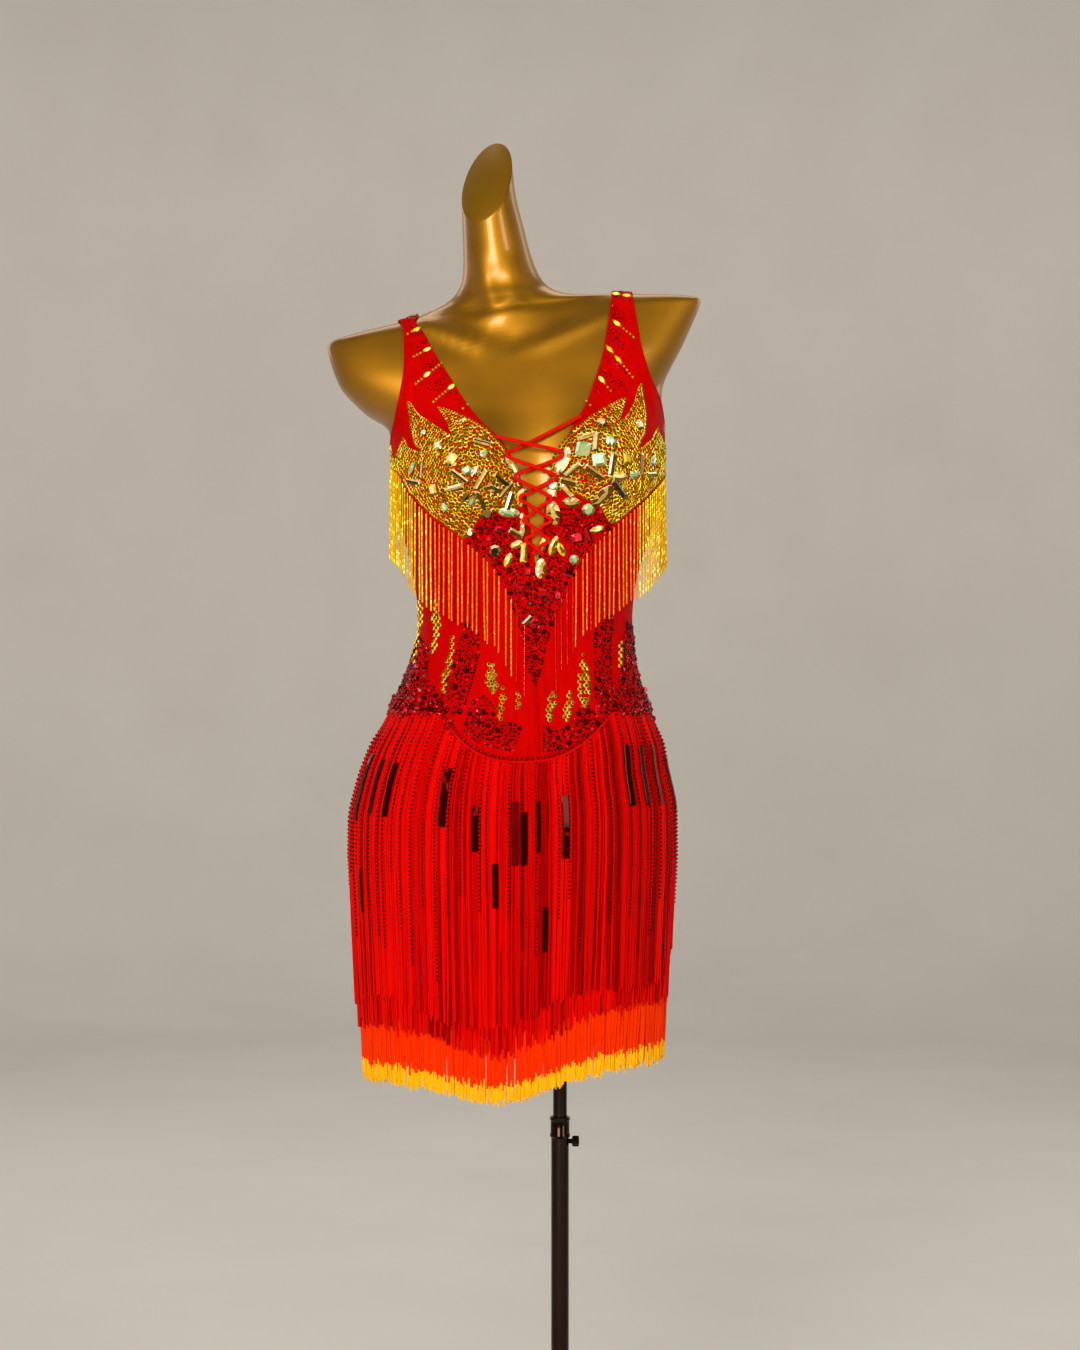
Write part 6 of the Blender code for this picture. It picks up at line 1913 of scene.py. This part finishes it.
def make_stand():
    """The turned plate and hub, the telescopic pole with its collar, and the socket under the form."""
    edge, rim = BASE_THICKNESS, BASE_RADIUS
    plate = [
        (0.001, 0.0), (rim - 0.003, 0.0), (rim - 0.0008, 0.0008), (rim, 0.003),
        (rim, edge - 0.0028), (rim - 0.0008, edge - 0.0008), (rim - 0.003, edge),
        (rim - 0.012, edge), (rim - 0.0128, edge - 0.0005), (rim - 0.0140, edge - 0.0005),
        (rim - 0.0148, edge), (0.034, edge + 0.0001), (0.032, edge + 0.0004), (0.001, edge + 0.0004),
    ]
    metal_part("base_plate", plate, 160, "stand_base", finish=TURNED)
    foot, top, wide = HUB_BOTTOM, HUB_BOTTOM + HUB_HEIGHT, HUB_RADIUS
    hub = [
        (TUBE_RADIUS + 0.0002, foot), (wide - 0.001, foot), (wide, foot + 0.001),
        (wide, foot + 0.007), (wide - 0.001, foot + 0.008), (0.0205, foot + 0.0095),
        (0.0185, foot + 0.013), (0.0172, foot + 0.019), (0.0168, top - 0.006), (0.0178, top - 0.005),
        (0.0178, top - 0.001), (0.0168, top), (TUBE_RADIUS + 0.0002, top),
    ]
    metal_part("hub_collar", hub, 96, "stand_hub")
    tube = [
        (TUBE_RADIUS, TUBE_BOTTOM), (TUBE_RADIUS, TUBE_TOP - 0.024), (0.0104, TUBE_TOP - 0.0235),
        (0.0113, TUBE_TOP - 0.0225), (0.0113, TUBE_TOP - 0.0195), (0.0106, TUBE_TOP - 0.0185),
        (0.0106, TUBE_TOP - 0.0050), (0.0113, TUBE_TOP - 0.0042), (0.0113, TUBE_TOP - 0.0008),
        (0.0107, TUBE_TOP), (TUBE_BORE + 0.0004, TUBE_TOP), (TUBE_BORE, TUBE_TOP - 0.0006),
        (TUBE_BORE, BORE_BOTTOM),
    ]
    metal_part("lower_pole", tube, 72, "stand_tube")
    ease = 0.0008
    mast = [
        (MAST_RADIUS - ease, MAST_BOTTOM), (MAST_RADIUS, MAST_BOTTOM + ease),
        (MAST_RADIUS, MAST_TOP - ease), (MAST_RADIUS - ease, MAST_TOP),
    ]
    metal_part("upper_pole", mast, 72, "stand_mast", "mast")
    bottom, neck, plate_radius = MAST_TOP - SOCKET_HEIGHT, SOCKET_RADIUS, SOCKET_RADIUS * 1.5
    socket = [
        (MAST_RADIUS + 0.0006, bottom), (neck - 0.001, bottom), (neck, bottom + 0.001),
        (neck, bottom + 0.022), (neck + 0.003, bottom + 0.025), (plate_radius, bottom + 0.029),
        (plate_radius, MAST_TOP - 0.0006), (plate_radius - 0.0006, MAST_TOP),
        (MAST_RADIUS + 0.0006, MAST_TOP),
    ]
    metal_part("form_mount", socket, 80, "form_socket", "figure")


THREAD_DEPTH, THREAD_PITCH = 0.0003, 0.0007


def make_knob():
    """The clamp screw: a threaded stem and a knurled knob, on an axis along X."""
    root = SCREW_RADIUS - THREAD_DEPTH
    stem = [(root, MAST_RADIUS + 0.0005), (SCREW_RADIUS, MAST_RADIUS + 0.0010)]
    thread = np.arange(MAST_RADIUS + 0.0014, KNOB_START - 0.0006, THREAD_PITCH / 2)
    stem += [(SCREW_RADIUS - THREAD_DEPTH * (n % 2), h) for n, h in enumerate(thread)]
    stem += [(SCREW_RADIUS, KNOB_START + 0.0002)]
    knob = [
        (KNOB_RADIUS * 0.86, KNOB_START), (KNOB_RADIUS, KNOB_START + 0.0010),
        (KNOB_RADIUS, KNOB_END - 0.0012), (KNOB_RADIUS * 0.88, KNOB_END - 0.0003),
        (KNOB_RADIUS * 0.60, KNOB_END), (0.0004, KNOB_END - 0.0002),
    ]
    verts, faces, _ = gather([(*turned(stem, 24), 0), (*turned(knob, 48, 0.05), 0)])
    verts = verts[:, [2, 1, 0]] * (1, -1, 1) + (0, 0, SCREW_HEIGHT)
    return new_piece(
        "clamp_knob", verts, faces, BRONZE, "bronze_metal", "screw", sharp=30, replaces=("clamp_screw",),
    )


# ------------------------------------------------------------ studio
CAMERA_PLACE = (-0.0224, -3.0, 0.994)
METRES_PER_PIXEL = 0.00112  # at the dress
IMAGE_HEIGHT = 1350
SENSOR = 36.0
ROOM_RADIUS, ROOM_CURVE, ROOM_HEIGHT = 6.0, 1.6, 4.5
LIGHTS = (  # name, place, aim, width and height, watts, tint
    ("key", (-1.0, -3.5, 1.85), (0, 0, 1.1), (1.4, 1.7), 130, "FFF6EC"),
    ("fill", (2.4, -2.7, 1.5), (0, 0, 1.0), (1.0, 1.8), 44, "FFF9F0"),
    ("rim_right", (-2.0, 2.2, 2.3), (0, 0, 1.1), (0.8, 1.8), 9, "FFFFFF"),
    ("rim_left", (2.2, 2.0, 2.1), (0, 0, 1.1), (0.8, 1.8), 9, "FFFFFF"),
    ("overhead", (0, 2.6, 4.3), (0, 2.6, 0), (3.6, 2.6), 64, "FFFAF2"),
)
AIR_BELOW, AIR_ABOVE, AIR_TURN = 0.32, 0.12, 0.6  # strength of the air's light, and where it ends falling


def make_room():
    """A round sweep of seamless paper: a flat pale floor that curves up into a wall all round."""
    flat = ROOM_RADIUS - ROOM_CURVE
    profile = [(0.001, 0.0), (1.0, 0.0), (flat, 0.0)]
    profile += [
        (flat + ROOM_CURVE * math.sin(a), ROOM_CURVE - ROOM_CURVE * math.cos(a))
        for a in np.linspace(0, math.pi / 2, 14)[1:]
    ]
    profile += [(ROOM_RADIUS, ROOM_HEIGHT)]
    verts, faces = turned(profile, 96)
    mesh = bpy.data.meshes.new("paper_sweep")
    mesh.from_pydata(verts.tolist(), [], faces[:-2])
    mesh.shade_smooth()
    mesh.materials.append(PAPER)
    sweep = bpy.data.objects.new("paper_sweep", mesh)
    bpy.context.scene.collection.objects.link(sweep)


def make_light(name, place, aim, size, power, tint):
    """A soft rectangular light, aimed at a point."""
    data = bpy.data.lights.new(name, "AREA")
    data.shape = "RECTANGLE"
    data.size, data.size_y = size
    data.energy = power
    data.color = paint(tint)[:3]
    made = bpy.data.objects.new(name, data)
    made.location = place
    made.rotation_euler = (Vector(aim) - Vector(place)).to_track_quat("-Z", "Y").to_euler()
    bpy.context.scene.collection.objects.link(made)


def make_studio():
    """The paper sweep, five soft lights, the air and the camera, level with the dress."""
    make_room()
    for light in LIGHTS:
        make_light(*light)
    world = bpy.data.worlds.new("studio_air")
    world.use_nodes = True
    air = world.node_tree
    up = add(air, "SeparateXYZ", {"Vector": add(air, "TexCoord").outputs["Generated"]})
    dim = add(
        air, "MapRange",
        {"Value": up.outputs["Z"], "From Max": AIR_TURN, "To Min": AIR_BELOW, "To Max": AIR_ABOVE},
    )
    feed(air, air.nodes["Background"], "Color", paint("F0ECE4"))
    feed(air, air.nodes["Background"], "Strength", dim)
    bpy.context.scene.world = world
    data = bpy.data.cameras.new("camera")
    data.sensor_width = SENSOR
    data.lens = SENSOR * -CAMERA_PLACE[1] / (IMAGE_HEIGHT * METRES_PER_PIXEL)
    camera = bpy.data.objects.new("camera", data)
    camera.location = CAMERA_PLACE
    camera.rotation_euler = (math.pi / 2, 0, 0)
    bpy.context.scene.collection.objects.link(camera)
    bpy.context.scene.camera = camera
    bpy.context.scene.view_settings.view_transform = "Standard"


# ------------------------------------------------------------ the whole object
make_studio()
make_form()
PANELS = {
    "front_right": (FRONT_RIGHT, -1, False),
    "front_left": (FRONT_LEFT, 1, False),
    "back_right": (BACK_RIGHT, -1, True),
    "back_left": (BACK_LEFT, 1, True),
}
cloth, panel_grids = {}, {}
for panel_name, cut_of in PANELS.items():
    cloth[panel_name], panel_grids[panel_name] = make_panel(panel_name, *cut_of)
cloth["skirt"] = make_skirt()
stitches = make_stitches(panel_grids)

stones = {}
for hand_side in ("right", "left"):
    stones[hand_side] = [make_big_stones(hand_side)]
for hand_side in ("right", "left"):
    stones[hand_side].append(make_gold_stones(hand_side))
    stones[hand_side].append(make_ruby_stones(hand_side, panel_grids["front_" + hand_side]))
for hand_side, line_rows, sign in (("right", BUST_LINE_RIGHT, -1), ("left", BUST_LINE_LEFT, 1)):
    stones[hand_side].append(make_bead_fringe(hand_side, line_rows, sign))
    stones[hand_side].append(make_bust_braid(hand_side, line_rows, sign))
hip_pieces = [make_hip_fringe(), make_tipped_fringe(), make_hip_braids(), make_hip_beads(), make_bars()]
make_lace("lace_a", LACE_A, LACE_B, True)
make_lace("lace_b", LACE_B, LACE_A, False)
make_stand()
make_knob()
